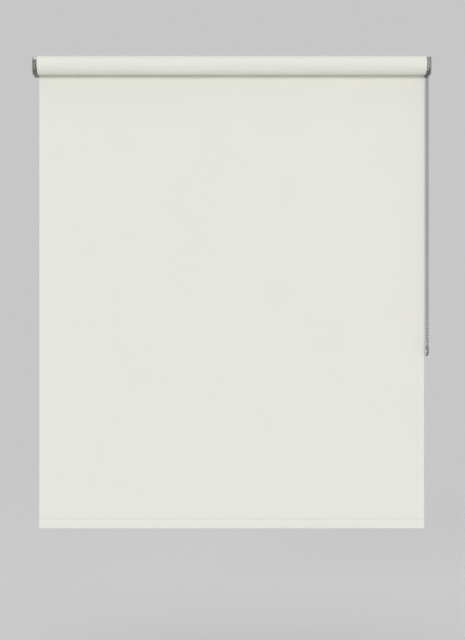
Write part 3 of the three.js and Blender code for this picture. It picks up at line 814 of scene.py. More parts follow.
def settle(obj: Obj, finish: Finish, body: Body, *replaced: str) -> Obj:
    """Dresses a piece and hangs it on its body.

    Args:
        obj: The piece.
        finish: Its finish.
        body: The body that it rides on.
        *replaced: The CAD nodes that it stands for.

    Returns:
        The same object.
    """
    obj.data.materials.clear()
    obj.data.materials.append(finish.material())
    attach(obj, body.value)
    if replaced:
        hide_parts(*replaced)
    LOG.info("%s: %d faces on %s", obj.name, len(obj.data.polygons), body.value)
    return obj


def softened(
    node: str, name: str, radius: float, finish: Finish, body: Body, segments: int = 2
) -> Obj:
    """A piece in the shape of a CAD node, with its sharp edges rounded.

    Args:
        node: The CAD node.
        name: The piece's name.
        radius: The rounding, in metres.
        finish: The piece's finish.
        body: The body that it rides on.
        segments: Facets across a rounded edge.

    Returns:
        The piece, whose rounded faces carry the edge mark.
    """
    form = bmesh.new()
    form.from_mesh(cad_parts[node].data)
    bmesh.ops.remove_doubles(form, verts=form.verts, dist=MERGE)
    flat = math.radians(0.5)
    bmesh.ops.dissolve_limit(form, angle_limit=flat, verts=form.verts, edges=form.edges)
    sharp = math.radians(30)
    edges = [e for e in form.edges if len(e.link_faces) == 2 and e.calc_face_angle(0.0) > sharp]
    mark = form.faces.layers.float.new(EDGE_MARK)
    rounded = bmesh.ops.bevel(
        form,
        geom=edges,
        offset=radius,
        offset_type="OFFSET",
        segments=segments,
        profile=0.5,
        affect="EDGES",
        clamp_overlap=True,
    )
    for face in rounded["faces"]:
        face[mark] = 1.0
    mesh = bpy.data.meshes.new(name)
    form.to_mesh(mesh)
    form.free()
    shade(mesh, math.radians(40))
    return settle(link(name, mesh), finish, body, node)


def dress(node: str, finish: Finish) -> None:
    """Gives a CAD node that stays a better finish.

    Args:
        node: The CAD node.
        finish: Its finish.
    """
    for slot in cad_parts[node].material_slots:
        slot.material = finish.material()
    LOG.info("%s: kept from the frame, in %s", node, finish.name)


# ---------- geometry trees ----------
@functools.cache
def wound_cloth_tree() -> Tree:
    """Flat cloth wound about the X axis, on a radius that changes steadily from turn to turn.

    Returns:
        The tree. Its cloth has a UV map of its flat size.
    """
    sizes = {"Width": 1.0, "Radius": 0.025, "Growth": 0.0, "Turns": 1.0}
    group = GrownGroup("wound_cloth", {**sizes, "Columns": 12, "Steps": 96})
    given = group.given
    counts = {"Vertices X": given["Columns"], "Vertices Y": given["Steps"]}
    flat = group.get("GeometryNodeMeshGrid", {"Size X": 1.0, "Size Y": 1.0, **counts})
    across, along, _ = group.split(group.get("GeometryNodeInputPosition"))
    turn = group.product(group.total(along, 0.5), given["Turns"])
    angle = group.product(turn, FULL_TURN)
    grown_by = group.product(turn, given["Growth"])
    radius = group.total(given["Radius"], grown_by)
    mean_radius = group.total(given["Radius"], group.product(grown_by, 0.5))
    x = group.product(across, given["Width"])
    flat_place = group.combine(x, group.product(mean_radius, angle))
    marked = group.store(flat, "UVMap", flat_place, data_type="FLOAT2", domain="CORNER")
    y, z = (group.product(radius, group.math(part, angle)) for part in ("COSINE", "SINE"))
    values = {"Geometry": marked, "Position": group.combine(x, y, z)}
    return group.grow(group.get("GeometryNodeSetPosition", values))


@functools.cache
def bead_chain_tree() -> Tree:
    """Beads spaced evenly along a path, each joined to the next by a short link.

    Returns:
        The tree. It grows on a line of edges, and each bead carries its own tone.
    """
    sizes = {"Bead Diameter": 4.5 * MM, "Pitch": 6.0 * MM, "Link Diameter": 0.9 * MM}
    group = GrownGroup("bead_chain", {"Beads": 8, **sizes, "Tone Spread": 0.08, "Seed": 3})
    given = group.given
    line = group.get("GeometryNodeMeshToCurve", {"Mesh": given["Geometry"]})
    spaced = group.get("GeometryNodeResampleCurve", {"Curve": line, "Count": given["Beads"]})
    radius = group.product(given["Bead Diameter"], 0.5)
    ball = {"Segments": 10, "Rings": 7, "Radius": radius}
    wire = {
        "Vertices": 5,
        "Radius": group.product(given["Link Diameter"], 0.5),
        "Depth": group.product(given["Pitch"], 0.6),
    }
    half_pitch = group.combine(0.0, 0.0, group.product(given["Pitch"], 0.5))
    shift = {"Geometry": group.get("GeometryNodeMeshCylinder", wire), "Translation": half_pitch}
    pair = group.add("GeometryNodeJoinGeometry", {0: group.get("GeometryNodeMeshUVSphere", ball)})
    group.feed(pair, {0: group.get("GeometryNodeTransform", shift)})
    tangent = {"Vector": group.get("GeometryNodeInputTangent")}
    facing = group.get("FunctionNodeAlignRotationToVector", tangent, axis="Z")
    placed = group.on_each(spaced, pair.outputs[0], Rotation=facing)
    spread = given["Tone Spread"]
    random = group.add("FunctionNodeRandomValue", {"Seed": given["Seed"]}, data_type="FLOAT")
    limits = [i for i, s in enumerate(random.inputs) if s.enabled and s.type == "VALUE"]
    group.feed(random, {limits[0]: group.product(spread, -1.0), limits[1]: spread})
    tone = next(s for s in random.outputs if s.enabled)
    toned = group.store(placed, TONE_MARK, tone, data_type="FLOAT", domain="INSTANCE")
    return group.grow(toned)


@functools.cache
def wire_tree() -> Tree:
    """A round wire along a line of edges, with closed ends.

    Returns:
        The tree.
    """
    group = GrownGroup("wire", {"Wire Radius": 0.6 * MM, "Sides": 12})
    given = group.given
    line = group.get("GeometryNodeMeshToCurve", {"Mesh": given["Geometry"]})
    circle = {"Resolution": given["Sides"], "Radius": given["Wire Radius"]}
    section = group.get("GeometryNodeCurvePrimitiveCircle", circle)
    values = {"Curve": line, "Profile Curve": section, "Fill Caps": True}
    return group.grow(group.get("GeometryNodeCurveToMesh", values))


@functools.cache
def weld_rib_tree() -> Tree:
    """The fine upright ribs that a welding bar presses into a hem, in a row along X.

    Returns:
        The tree. It grows one row from each vertex of its object.
    """
    sizes = {"Rib Pitch": 1.3 * MM, "Rib Width": 0.6 * MM, "Rib Height": 2.0 * MM}
    group = GrownGroup("weld_ribs", {"Ribs": 8, **sizes})
    given = group.given
    spacing = {"Count": given["Ribs"], "Offset": group.combine(given["Rib Pitch"], 0.0)}
    row = group.get("GeometryNodeMeshLine", spacing)
    radius = group.product(given["Rib Width"], 0.5)
    round_bar = {"Vertices": 8, "Radius": radius, "Depth": given["Rib Height"]}
    ribs = group.on_each(row, group.get("GeometryNodeMeshCylinder", round_bar))
    return group.grow(group.on_each(given["Geometry"], ribs))


@functools.cache
def fastener_tree() -> Tree:
    """One fastener set at each vertex of an object.

    Returns:
        The tree.
    """
    group = GrownGroup("fasteners", {"Fastener": OBJECT})
    one = group.add("GeometryNodeObjectInfo", {"Object": group.given["Fastener"]})
    placed = group.on_each(group.given["Geometry"], one.outputs["Geometry"])
    return group.grow(placed, smooth=False)


# ---------- camera and studio ----------
@dataclass(frozen=True)
class ViewCamera:
    """The camera: square to the wall, a little left of the blind's middle, at half its height."""

    place: tuple[float, float, float] = (-0.0185, -3.447, -0.740)
    lens: float = 70.63
    shift: Corner = (0.01172, 0.02344)

    def set_up(self) -> None:
        """Makes the scene's camera."""
        data = bpy.data.cameras.new("view_camera")
        data.sensor_width = 36.0
        data.lens = self.lens
        data.shift_x, data.shift_y = self.shift
        data.clip_end = 60.0
        camera = link("view_camera", data)
        camera.location = self.place
        camera.rotation_euler = (math.pi / 2, 0.0, 0.0)
        bpy.context.scene.camera = camera


@dataclass(frozen=True)
class SkyPanel:
    """A broad, far light, which falls alike on the whole height of the blind."""

    name: str
    azimuth: float
    elevation: float
    spread: float
    strength: float
    casts_shadows: bool = True

    def set_up(self) -> None:
        """Makes the light; its azimuth is counted from straight in front towards +X."""
        data = bpy.data.lights.new(self.name, "SUN")
        data.angle = math.radians(self.spread)
        data.energy = self.strength
        data.use_shadow = self.casts_shadows
        tip = math.pi / 2 - math.radians(self.elevation)
        link(self.name, data).rotation_euler = (tip, 0.0, math.radians(self.azimuth))


@dataclass(frozen=True)
class Studio:
    """A plain pale floor that melts into a plain pale surround, under soft lights."""

    surround: Colour = (0.57, 0.57, 0.575)
    ambience: Colour = (0.44, 0.44, 0.442)
    floor_colour: Colour = (0.74, 0.74, 0.745)
    floor_drop: float = 1.66
    floor_radius: float = 14.0
    fade: Corner = (1.6, 6.0)
    panels: tuple[SkyPanel, ...] = (
        SkyPanel("front_panel", -20.0, 8.0, 18.0, 1.25),
        SkyPanel("low_fill", 10.0, -12.0, 60.0, 0.56, casts_shadows=False),
        SkyPanel("top_panel", -20.0, 75.0, 50.0, 0.5),
        SkyPanel("back_panel", 160.0, 15.0, 60.0, 1.2),
    )

    def set_up(self) -> None:
        """Makes the surround, the floor and the lights."""
        scene = bpy.context.scene
        scene.view_settings.view_transform = "Standard"
        scene.world = bpy.data.worlds.new("surround")
        scene.world.use_nodes = True
        graph = Graph(scene.world.node_tree)
        lit = graph.find("BACKGROUND")
        graph.feed(lit, {"Color": (*self.ambience, 1.0)})
        seen = graph.get("ShaderNodeBackground", {"Color": (*self.surround, 1.0)})
        looked_at = graph.add("ShaderNodeLightPath").outputs["Is Camera Ray"]
        mixed = graph.get("ShaderNodeMixShader", {0: looked_at, 1: lit.outputs[0], 2: seen})
        graph.feed(graph.find("OUTPUT_WORLD"), {"Surface": mixed})
        self.lay_floor()
        for panel in self.panels:
            panel.set_up()

    def lay_floor(self) -> None:
        """Makes the floor, whose far part is the surround's own colour."""
        form = bmesh.new()
        bmesh.ops.create_circle(form, cap_ends=True, radius=self.floor_radius, segments=96)
        bmesh.ops.translate(form, verts=form.verts, vec=(0.0, 0.0, -self.floor_drop))
        floor = from_bmesh("floor", form, outward=False)
        surface = Surface("pale_floor", self.floor_colour, 0.9)
        x, y, _ = surface.split(surface.place())
        vector = {0: surface.combine(x, y)}
        radius = surface.add("ShaderNodeVectorMath", vector, operation="LENGTH").outputs["Value"]
        far = surface.remap(radius, self.fade, interpolation_type="SMOOTHSTEP")
        glow = surface.get("ShaderNodeEmission", {"Color": (*self.surround, 1.0), "Strength": 1.0})
        parts = {0: far, 1: surface.shader.outputs[0], 2: glow}
        mixed = surface.get("ShaderNodeMixShader", parts)
        surface.feed(surface.find("OUTPUT_MATERIAL"), {"Surface": mixed})
        floor.data.materials.append(surface.material)


# ---------- bead chain ----------
@dataclass(frozen=True)
class BeadChain:
    """The endless chain: a hanging loop, and the beads that lie on the sprocket."""

    bead_diameter: float = 4.5 * MM
    pitch: float = 6.0 * MM
    beads_round: int = 16
    straight_beads: int = 130
    plane_x: float = 536.1 * MM
    turn_steps: int = 24

    @property
    def radius(self) -> float:
        """The chain's radius on the sprocket."""
        return self.pitch * self.beads_round / FULL_TURN

    def on_turn(self, angle: float, centre_z: float = 0.0) -> Vector:
        """The point at an angle from +Y on a turn about a height."""
        across, up = self.radius * math.cos(angle), self.radius * math.sin(angle)
        return Vector((self.plane_x, across, centre_z + up))

    def loop_path(self) -> list[Vector]:
        """The loop's line: down in front, round the turn and up behind.

        Returns:
            Its points.
        """
        bottom = -self.pitch * self.straight_beads
        angles = [math.pi + math.pi * i / self.turn_steps for i in range(self.turn_steps + 1)]
        front = Vector((self.plane_x, -self.radius, 0.0))
        back = Vector((self.plane_x, self.radius, 0.0))
        return [front, *(self.on_turn(angle, bottom) for angle in angles), back]

    def string(self, name: str, path: list[Vector], beads: int, node: str) -> Obj:
        """Strings beads on a line.

        Args:
            name: The piece's name.
            path: The line, from its first bead to its last.
            beads: How many.
            node: The CAD node that it stands for.

        Returns:
            The piece.
        """
        piece = grown(
            name,
            bead_chain_tree(),
            path,
            joined=True,
            beads=beads,
            bead_diameter=self.bead_diameter,
            pitch=self.pitch,
            material=SHADE_DARKENED_NICKEL_BEADS.material(),
        )
        return settle(piece, SHADE_DARKENED_NICKEL_BEADS, Body.FRAME, node)

    def build(self, threaded: Sequence[Obj]) -> None:
        """Args:
            threaded: The pieces that are on the chain; not used.
        """
        path = self.loop_path()
        between = list(path)
        between[0] = path[0] + (path[1] - path[0]).normalized() * self.pitch / 2
        between[-1] = path[-1] + (path[-2] - path[-1]).normalized() * self.pitch / 2
        over = self.beads_round // 2
        beads = 2 * self.straight_beads + over
        loop = self.string("bead_chain", between, beads, "chain_loop")
        step = FULL_TURN / self.beads_round
        seats = [self.on_turn(step / 2 + step * i) for i in range(over)]
        wrap = self.string("bead_chain_on_sprocket", seats, over, "chain_wrap")


# ---------- what is threaded on the chain ----------
@dataclass(frozen=True)
class ChainFittings:
    """The joiner and the stop, each clipped round the chain."""

    bore: float = 2.62 * MM
    slit_degrees: float = 46.0
    waist: float = 0.25 * MM
    lip: float = 0.3 * MM
    rounding: float = 0.35 * MM
    softening: float = 0.12 * MM
    chamfer: float = 0.7 * MM
    mouth_play: float = 0.1 * MM
    joiner_facets: int = 40
    stop_facets: int = 96
    stop_steps: int = 22
    seam_depth: float = 0.16 * MM
    seam_half_width: float = 0.06

    def extent(self, node: str) -> tuple[Vector, float, float]:
        """A CAD node's middle, outer radius and half height.

        Args:
            node: The CAD node, which is round about +Z.

        Returns:
            The three measures.
        """
        low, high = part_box(node)
        return (low + high) / 2, (high.x - low.x) / 2, (high.z - low.z) / 2

    def joiner(self) -> Obj:
        """The clear sleeve that joins the chain's ends, open along one side, with two bead seats.

        Returns:
            The piece.
        """
        centre, outer, half = self.extent("chain_connector")
        mouth, edge = self.bore + self.mouth_play, self.chamfer
        upper = [
            (half - 4 * edge, outer - self.waist),
            (half - 3 * edge, outer),
            (half - edge, outer),
            (half, outer - self.rounding),
            (half, mouth),
            (half - self.lip, self.bore),
        ]
        lower = [(-along, radius) for along, radius in reversed(upper)]
        slit = math.radians(self.slit_degrees)
        piece = turned(
            "chain_joiner",
            [*lower, *upper],
            self.joiner_facets,
            Along.Z,
            centre,
            start=math.pi + slit / 2,
            arc=FULL_TURN - slit,
        )
        modified(piece, "BEVEL", width=self.softening, segments=2, limit_method="ANGLE")
        shade(piece.data)
        return settle(piece, CLEAR_PLASTIC, Body.CONNECTOR, "chain_connector")

    def stop(self) -> Obj:
        """The round stop: two halves clipped together, with the seam between them.

        Returns:
            The piece.
        """
        centre, outer, _ = self.extent("chain_stop_ball")
        start = math.asin((self.bore + 2 * self.mouth_play) / outer)
        profile = [(-outer * math.cos(start), self.bore)]
        for i in range(self.stop_steps + 1):
            angle = start + (math.pi - 2 * start) * i / self.stop_steps
            profile.append((-outer * math.cos(angle), outer * math.sin(angle)))
        profile.append((outer * math.cos(start), self.bore))

        def with_seam(_: float, radius: float, angle: float) -> float:
            """The radius, pressed in where the two halves meet."""
            share = max(0.0, 1 - abs(math.sin(angle)) / self.seam_half_width)
            return radius if radius <= self.bore else radius - self.seam_depth * share

        piece = turned(
            "chain_stop", profile, self.stop_facets, Along.Z, centre, with_seam
        )
        return settle(piece, CLEAR_PLASTIC, Body.STOP_BALL, "chain_stop_ball")

    def build(self) -> list[Obj]:
        """Makes both pieces."""
        return [self.joiner(), self.stop()]


# ---------- cloth ----------
@dataclass(frozen=True)
class BlindFabric:
    """The cloth: spare turns on the roller, the turn that it leaves by, and the hanging drop."""

    thickness: float = 0.5 * MM
    steps_per_turn: int = 120
    spare_turns: float = 3.75
    spare_radius: float = 24.9 * MM
    wave: float = 0.28 * MM
    broad_wave: Corner = (5.1, 3.7)
    broad_phase: float = 1.3
    fine_wave: Corner = (11.0, 6.0)
    fine_share: float = 0.6
    edge_curl: float = 1.5 * MM
    curl_width: float = 60 * MM
    tucked_in: float = 0.2 * MM
    grid: tuple[int, int] = (110, 130)

    def wound(self, name: str, radius: float, turns: float) -> tuple[Obj, Corner]:
        """Cloth wound inwards from a radius, from the back over the top.

        Args:
            name: The piece's name.
            radius: The cloth's middle where it starts.
            turns: How many turns.

        Returns:
            The piece, and its flat size.
        """
        low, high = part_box("fabric_drop")
        rolled = grown(
            name,
            wound_cloth_tree(),
            width=high.x - low.x,
            radius=radius,
            growth=-self.thickness,
            turns=turns,
            columns=13,
            steps=round(turns * self.steps_per_turn) + 1,
            material=WOUND_CLOTH.material(),
        )
        length = FULL_TURN * turns * (radius - self.thickness * turns / 2)
        return thickened(rolled, self.thickness), (high.x - low.x, length)

    def hanging(self, width: float, leaving_y: float) -> None:
        """Makes the drop, with a trace of wave and its side edges curled back a little.

        Args:
            width: The cloth's width.
            leaving_y: The middle of the cloth where it leaves the roll.
        """
        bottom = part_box("hem_pocket")[1].z - self.tucked_in

        def point(u: float, v: float) -> Vector:
            """The place of a point of the drop.

            Args:
                u: Its share across.
                v: Its share down.

            Returns:
                The place.
            """
            x, z = (u - 0.5) * width, v * bottom
            free = math.sin(math.pi * v) ** 0.5 if 0 < v < 1 else 0.0
            (bx, bz), (fx, fz) = self.broad_wave, self.fine_wave
            broad = math.sin(x * bx + self.broad_phase) * math.sin(z * bz)
            wave = (broad + self.fine_share * math.sin(x * fx - z * fz)) / (1 + self.fine_share)
            near = max(0.0, 1 - (width / 2 - abs(x)) / self.curl_width)
            return Vector((x, leaving_y + free * (self.wave * wave + self.edge_curl * near**2), z))

        def flat(u: float, v: float) -> Corner:
            """The flat place of the same shares."""
            return ((u - 0.5) * width, v * bottom)

        drop = thickened(grid_object("drop_sheet", *self.grid, point, flat), self.thickness)
        settle(drop, HANGING_CLOTH, Body.FRAME, "fabric_drop")
        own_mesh(drop)

    def build(self) -> None:
        """Makes the three stretches of the cloth."""
        low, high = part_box("fabric_drop")
        leaving_y = (low.y + high.y) / 2
        outer, flat = self.wound("roll_outer_turn", leaving_y, 1.0)
        settle(outer, WOUND_CLOTH, Body.FRAME)
        spare, flat = self.wound("roll_turns", self.spare_radius, self.spare_turns)
        settle(spare, WOUND_CLOTH, Body.ROLLER, "fabric_roll")
        self.hanging(high.x - low.x, leaving_y)


# ---------- hem and bottom bar ----------
@dataclass(frozen=True)
class BottomBar:
    """The hem: cloth folded round the bar and welded to itself at the back, with the bar inside."""

    cloth: float = 0.5 * MM
    weld: float = 2.6 * MM
    shoulder: float = 4.2 * MM
    rib_pitch: float = 1.3 * MM
    rib_width: float = 0.7 * MM
    rib_proud: float = 0.1 * MM
    shoulder_steps: int = 10
    turn_steps: int = 14
    columns: int = 60

    def fold(self) -> list[Corner]:
        """Draws the cloth's middle line: front, turn, back.

        Returns:
            Its corners as (away from the drop's plane, height).
        """
        low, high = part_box("hem_pocket")
        half = (high.y - low.y) / 2 - self.cloth / 2
        layer = self.cloth / 2
        knee = high.z - self.weld
        front = [(-layer, high.z), (-layer, knee)]
        for i in range(1, self.shoulder_steps + 1):
            share = i / self.shoulder_steps
            ease = share * share * (3 - 2 * share)
            front.append((-layer - (half - layer) * ease, knee - self.shoulder * share))
        centre = low.z + self.cloth / 2 + half
        line = list(front)
        for i in range(self.turn_steps + 1):
            angle = math.pi + math.pi * i / self.turn_steps
            line.append((half * math.cos(angle), centre + half * math.sin(angle)))
        line.extend((-away, height) for away, height in reversed(front))
        return line

    def sleeve(self) -> None:
        """Makes the folded cloth, with its weld."""
        low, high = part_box("hem_pocket")
        middle = (low.y + high.y) / 2
        width = high.x - low.x
        line = self.fold()
        spans = len(line) - 1
        along = [0.0]
        for (a0, z0), (a1, z1) in zip(line, line[1:]):
            along.append(along[-1] + math.hypot(a1 - a0, z1 - z0))

        def point(u: float, v: float) -> Vector:
            """The place of a share across and a step of the fold."""
            away, height = line[round(v * spans)]
            return Vector((low.x + u * width, middle + away, height))

        def flat(u: float, v: float) -> Corner:
            """The flat place of the same shares."""
            return (u * width, along[round(v * spans)])

        piece = grid_object("hem_sleeve", self.columns, spans, point, flat)
        # the weld mark picks the band that the cloth's material darkens, partly as painted shade of
        # the weld's groove
        mark = piece.data.attributes.new(WELD_MARK, "FLOAT", "FACE")
        knee = high.z - self.weld
        for face in piece.data.polygons:
            mark.data[face.index].value = 1.0 if face.center.z > knee else 0.0
        thickened(piece, self.cloth)
        settle(piece, HANGING_CLOTH, Body.BOTTOM_BAR, "hem_pocket")
        self.weld_ribs()

    def weld_ribs(self) -> Obj:
        """The ribs pressed into both faces of the weld.

        Returns:
            The piece.
        """
        low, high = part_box("hem_pocket")
        middle = (low.y + high.y) / 2
        count = int((high.x - low.x) / self.rib_pitch) - 1
        start = -self.rib_pitch * (count - 1) / 2
        sunk = self.cloth - self.rib_width / 2 + self.rib_proud
        height = high.z - self.weld / 2
        ribs = grown(
            "hem_weld_ribs",
            weld_rib_tree(),
            [(start, middle + side * sunk, height) for side in (-1, 1)],
            ribs=count,
            rib_pitch=self.rib_pitch,
            rib_width=self.rib_width,
            rib_height=self.weld * 0.8,
            material=WELDED_CLOTH.material(),
        )
        return settle(ribs, WELDED_CLOTH, Body.BOTTOM_BAR)

    def build(self) -> None:
        """Makes the hem and its end caps, and finishes the bar."""
        self.sleeve()
        for end in ("right", "left"):
            name = f"hem_end_cap_{end}"
            softened(f"lath_cap_{end}", name, 0.3 * MM, WHITE_PLASTIC, Body.BOTTOM_BAR, 3)
        dress("bottom_bar_lath", ALUMINIUM)


# ---------- brackets and screws ----------
@dataclass(frozen=True)
class PanHeadScrew:
    """A cross-head screw along +Y, with the top of its head at the origin."""

    length: float
    head: float = 2.2 * MM
    head_radius: float = 3.9 * MM
    shank_radius: float = 1.9 * MM
    core_radius: float = 1.3 * MM
    thread_pitch: float = 1.6 * MM
    plain_shank: float = 2.4 * MM
    tip: float = 5 * MM
    crown: float = 0.12 * MM
    crown_share: float = 0.45
    dome_share: float = 0.62
    rim: float = 0.15 * MM
    run_out: float = 2 * MM
    point: float = 0.4 * MM
    recess_depth: float = 1.2 * MM
    recess_reach: float = 0.52
    recess_taper: float = 0.6
    blade: float = 0.5 * MM
    dome_steps: int = 8
    thread_steps: int = 8

    def outline(self) -> list[Corner]:
        """Draws the screw from the crown of its head to its tip.

        Returns:
            Corners as (place along the screw, radius).
        """
        line = [(self.crown, 0.0)]
        for i in range(self.dome_steps + 1):
            angle = math.pi / 2 * i / self.dome_steps
            rise = self.head * self.dome_share * (1 - math.cos(angle))
            share = self.crown_share + (1 - self.crown_share) * math.sin(angle)
            line.append((self.crown + rise, self.head_radius * share))
        plain = self.head + self.plain_shank
        line.append((self.head - self.rim, self.head_radius))
        line.append((self.head, self.head_radius - self.rim))
        line.append((self.head, self.shank_radius))
        line.append((plain, self.shank_radius))
        step = self.thread_pitch / self.thread_steps
        count = int((self.length - self.point - plain) / self.thread_pitch * self.thread_steps)
        line.extend((plain + i * step, self.shank_radius) for i in range(1, count + 1))
        return [*line, (self.length, 0.0)]

    def threaded(self, where: float, radius: float, angle: float) -> float:
        """Cuts the thread, which runs out under the head and tapers to the tip.

        Args:
            where: A corner's place along the screw.
            radius: Its radius.
            angle: Its angle.

        Returns:
            Its radius on the thread.
        """
        plain = self.head + self.plain_shank
        if where <= plain + MERGE:
            return radius
        phase = (where / self.thread_pitch - angle / FULL_TURN) % 1.0
        crest = max(0.0, 1 - abs(phase - 0.5) * 4)
        left = self.length - where
        taper = 1.0 if left > self.tip else max(0.05, left / self.tip)
        depth = (self.shank_radius - self.core_radius) * min(1.0, (where - plain) / self.run_out)
        return (self.shank_radius - depth * (1 - crest)) * taper

    def build(self) -> Obj:
        """Turns the screw and cuts the cross recess in its head.

        Returns:
            A shape to repeat, which isn't a piece itself.
        """
        body = turned("screw_body", self.outline(), 24, Along.Y, radius_at=self.threaded)
        form = bmesh.new()
        reach = self.head_radius * self.recess_reach
        for across, up in ((reach, self.blade), (self.blade, reach)):
            for vert in bmesh.ops.create_cube(form, size=2.0)["verts"]:
                inner = self.recess_taper if vert.co.y > 0 else 1.0
                vert.co.x *= across * inner
                vert.co.z *= up * inner
                vert.co.y = self.recess_depth if vert.co.y > 0 else -1.0 * MM
        combined(body, from_bmesh("recess", form, outward=False), "DIFFERENCE", use_self=True)
        return body


@dataclass(frozen=True)
class Brackets:
    """The two pressed steel brackets, the idle end's bearing cup and the screws."""

    edge: float = 0.45 * MM

    def screws(self) -> None:
        """Sets the screws in the brackets and in the chain holder."""
        nodes = [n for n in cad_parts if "_screw" in n]
        boxes = [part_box(node) for node in nodes]
        places = [((lo.x + hi.x) / 2, lo.y, (lo.z + hi.z) / 2) for lo, hi in boxes]
        low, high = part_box("control_bracket_screw_upper")
        one = PanHeadScrew(high.y - low.y).build()
        inputs = {"fastener": one, "material": ZINC_STEEL.material()}
        piece = grown("mounting_screws", fastener_tree(), places, **inputs)
        bpy.data.objects.remove(one)
        settle(piece, ZINC_STEEL, Body.FRAME, *nodes)

    def build(self) -> None:
        """Makes the brackets, the cup and the screws."""
        for end in ("control", "idle"):
            name = f"{end}_bracket_pressing"
            softened(f"{end}_bracket", name, self.edge, COATED_STEEL, Body.FRAME, 3)
        softened("idle_bearing_cup", "bearing_cup", 0.25 * MM, WHITE_PLASTIC, Body.FRAME)
        self.screws()


# ---------- ends of the roller ----------
@dataclass(frozen=True)
class CoilSpring:
    """A spring of round wire about the roller's axis, between two places along it."""

    name: str
    node: str
    body: Body
    wire: float
    radius: float
    turns: float
    start: float = 0.0
    tang: float | None = None
    steps_per_turn: int = 40

    def build(self) -> Obj:
        """Coils the wire, with a tang turned out at each end where there is a radius for it.

        Returns:
            The piece.
        """
        low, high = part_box(self.node)
        x0, x1 = low.x + self.wire, high.x - self.wire
        steps = round(self.turns * self.steps_per_turn)
        line = [(i, self.radius) for i in range(steps + 1)]
        if self.tang:
            line = [(0, self.tang), *line, (steps, self.tang)]
        points = []
        for i, r in line:
            angle = self.start + FULL_TURN * self.turns * i / steps
            x = x0 + (x1 - x0) * i / steps
            points.append((x, r * math.cos(angle), r * math.sin(angle)))
        inputs = {"wire_radius": self.wire, "material": SPRING_STEEL.material()}
        piece = grown(self.name, wire_tree(), points, joined=True, **inputs)
        return settle(piece, SPRING_STEEL, self.body, self.node)


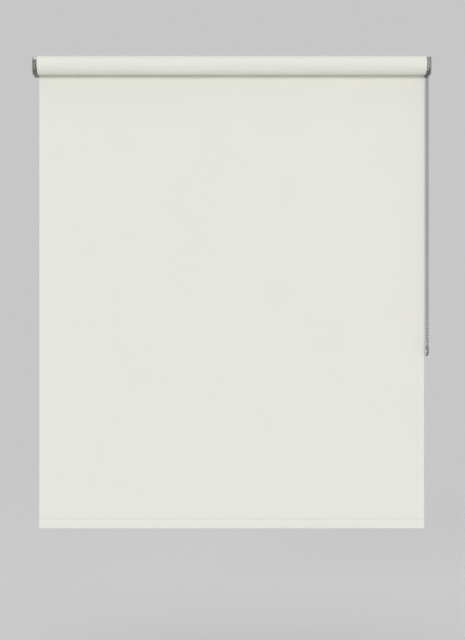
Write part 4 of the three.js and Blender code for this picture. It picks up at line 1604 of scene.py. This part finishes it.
@dataclass(frozen=True)
class ControlEnd:
    """The chain clutch: guard, fixed hub, sprocket, wrap springs and drive sleeve."""

    chain: BeadChain
    wheel_half: float = 3.7 * MM
    groove_half: float = 2.55 * MM
    rim_over: float = 1.1 * MM
    rim_flat: float = 0.35 * MM
    rim_round: float = 0.3 * MM
    groove_lip: float = 0.4 * MM
    seat_depth: float = 0.7 * MM
    bead_room: float = 0.3 * MM
    facets_per_seat: int = 14
    bore: float = 8.3 * MM
    tongue_radius: float = 13.2 * MM
    tongue_wall: float = 1.9 * MM
    tongue_arc: float = 200.0
    tongue_overlap: float = 0.5 * MM
    rib_arc: float = 110.0
    wire: float = 0.65 * MM
    spring_turns: int = 6

    @property
    def rim(self) -> float:
        """The wheel's outer radius."""
        return self.chain.radius + self.rim_over

    @property
    def reach(self) -> float:
        """The radius of a bead's seat."""
        return self.chain.bead_diameter / 2 + self.bead_room

    @property
    def floor(self) -> float:
        """The radius at the bottom of the groove."""
        return self.chain.radius - self.chain.bead_diameter / 2 - self.bead_room

    def outline(self) -> list[Corner]:
        """Draws the wheel's section, with its groove.

        Returns:
            Corners as (place along the axis from the chain's plane, radius).
        """
        edge, top = self.wheel_half, self.rim - self.groove_lip
        half = [
            (-edge, self.bore),
            (-edge, self.rim - self.rim_round),
            (-edge + self.rim_round, self.rim),
            (-self.groove_half - self.rim_flat, self.rim),
            (-self.groove_half - 0.1 * MM, self.rim - 0.15 * MM),
        ]
        line = list(half)
        steps = 12
        for i in range(steps + 1):
            angle = math.pi * i / steps
            sink = (top - self.floor) * math.sin(angle) ** 0.6
            line.append((-self.groove_half * math.cos(angle), top - sink))
        line.extend((-where, radius) for where, radius in reversed(half))
        return line

    def seated(self, where: float, radius: float, angle: float) -> float:
        """Cuts the wheel back where a bead sits.

        Args:
            where: A corner's place along the axis.
            radius: Its radius.
            angle: Its angle.

        Returns:
            Its radius in the seat.
        """
        if radius < self.floor - self.rim_round:
            return radius
        pitch = FULL_TURN / self.chain.beads_round
        off = (angle % pitch) - pitch / 2
        seat = self.chain.radius - self.seat_depth
        room = self.reach**2 - where**2 - (seat * math.sin(off)) ** 2
        return radius if room <= 0 else min(radius, seat * math.cos(off) - math.sqrt(room))

    def sprocket(self) -> None:
        """Makes the chain wheel, with its half-tube driving tongue."""
        sides = self.chain.beads_round * self.facets_per_seat
        centre = (self.chain.plane_x, 0.0, 0.0)
        wheel = turned("bead_sprocket", self.outline(), sides, Along.X, centre, self.seated)
        inner, outer = self.tongue_radius - self.tongue_wall, self.tongue_radius
        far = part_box("chain_sprocket")[0].x
        near = self.chain.plane_x - self.wheel_half + self.tongue_overlap
        corners = [(far, inner), (far, outer), (near, outer), (near, inner)]
        arc = math.radians(self.tongue_arc)
        tongue = turned("tongue", corners, 40, start=math.pi / 2 - arc / 2, arc=arc)
        combined(wheel, tongue, "UNION")
        settle(wheel, GREY_PLASTIC, Body.ROLLER, "chain_sprocket")

    def springs(self) -> None:
        """Makes the wrap springs, with their tangs midway between the tongue and the rib."""
        apart = math.radians((180 - self.tongue_arc / 2 + self.rib_arc / 2) / 2)
        for place in ("outer", "inner"):
            CoilSpring(
                f"clutch_spring_{place}",
                f"wrap_spring_{place}",
                Body.ROLLER,
                wire=self.wire,
                radius=self.bore + self.wire,
                turns=self.spring_turns + apart / math.pi,
                start=1.5 * math.pi - apart,
                tang=self.tongue_radius,
            ).build()

    def build(self) -> None:
        """Makes the control end's pieces."""
        # painted shade: the guard is in grey plastic partly as its own colour and partly to stand
        # in for the shade in the gap at the roll's end
        softened("chain_guard", "end_guard", 0.3 * MM, GREY_PLASTIC, Body.FRAME)
        softened("control_hub", "fixed_hub", 0.2 * MM, GREY_PLASTIC, Body.FRAME)
        self.sprocket()
        self.springs()
        dress("drive_sleeve", GREY_PLASTIC)
        dress("hub_circlip", SPRING_STEEL)


@dataclass(frozen=True)
class IdleEnd:
    """The idle end: plug, sprung pin, its spring and retainer."""

    wire: float = 0.6 * MM
    coil: float = 4.6 * MM
    turns: int = 9

    def build(self) -> None:
        """Makes the idle end's pieces."""
        spring = CoilSpring(
            "pin_coil_spring", "pin_spring", Body.IDLE_PIN, self.wire, self.coil, self.turns
        ).build()
        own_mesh(spring)
        softened("idle_pin", "sprung_pin", 0.25 * MM, ZINC_STEEL, Body.IDLE_PIN)
        dress("idle_plug", GREY_PLASTIC)
        dress("spring_retainer", ZINC_STEEL)


def main() -> None:
    """Builds the blind in order, from the camera and the chain to the ends of the roller."""
    logging.basicConfig(level=logging.INFO, format="%(name)s: %(message)s")
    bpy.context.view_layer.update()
    ViewCamera().set_up()
    Studio().set_up()
    chain = BeadChain()
    chain.build(ChainFittings().build())
    BlindFabric().build()
    BottomBar().build()
    Brackets().build()
    ControlEnd(chain).build()
    IdleEnd().build()
    softened("chain_tidy", "chain_holder", 0.35 * MM, CLEAR_PLASTIC, Body.FRAME, 3)
    dress("roller_tube", ALUMINIUM)
    dress("fabric_spline", WHITE_PLASTIC)


if __name__ == "__main__":
    main()
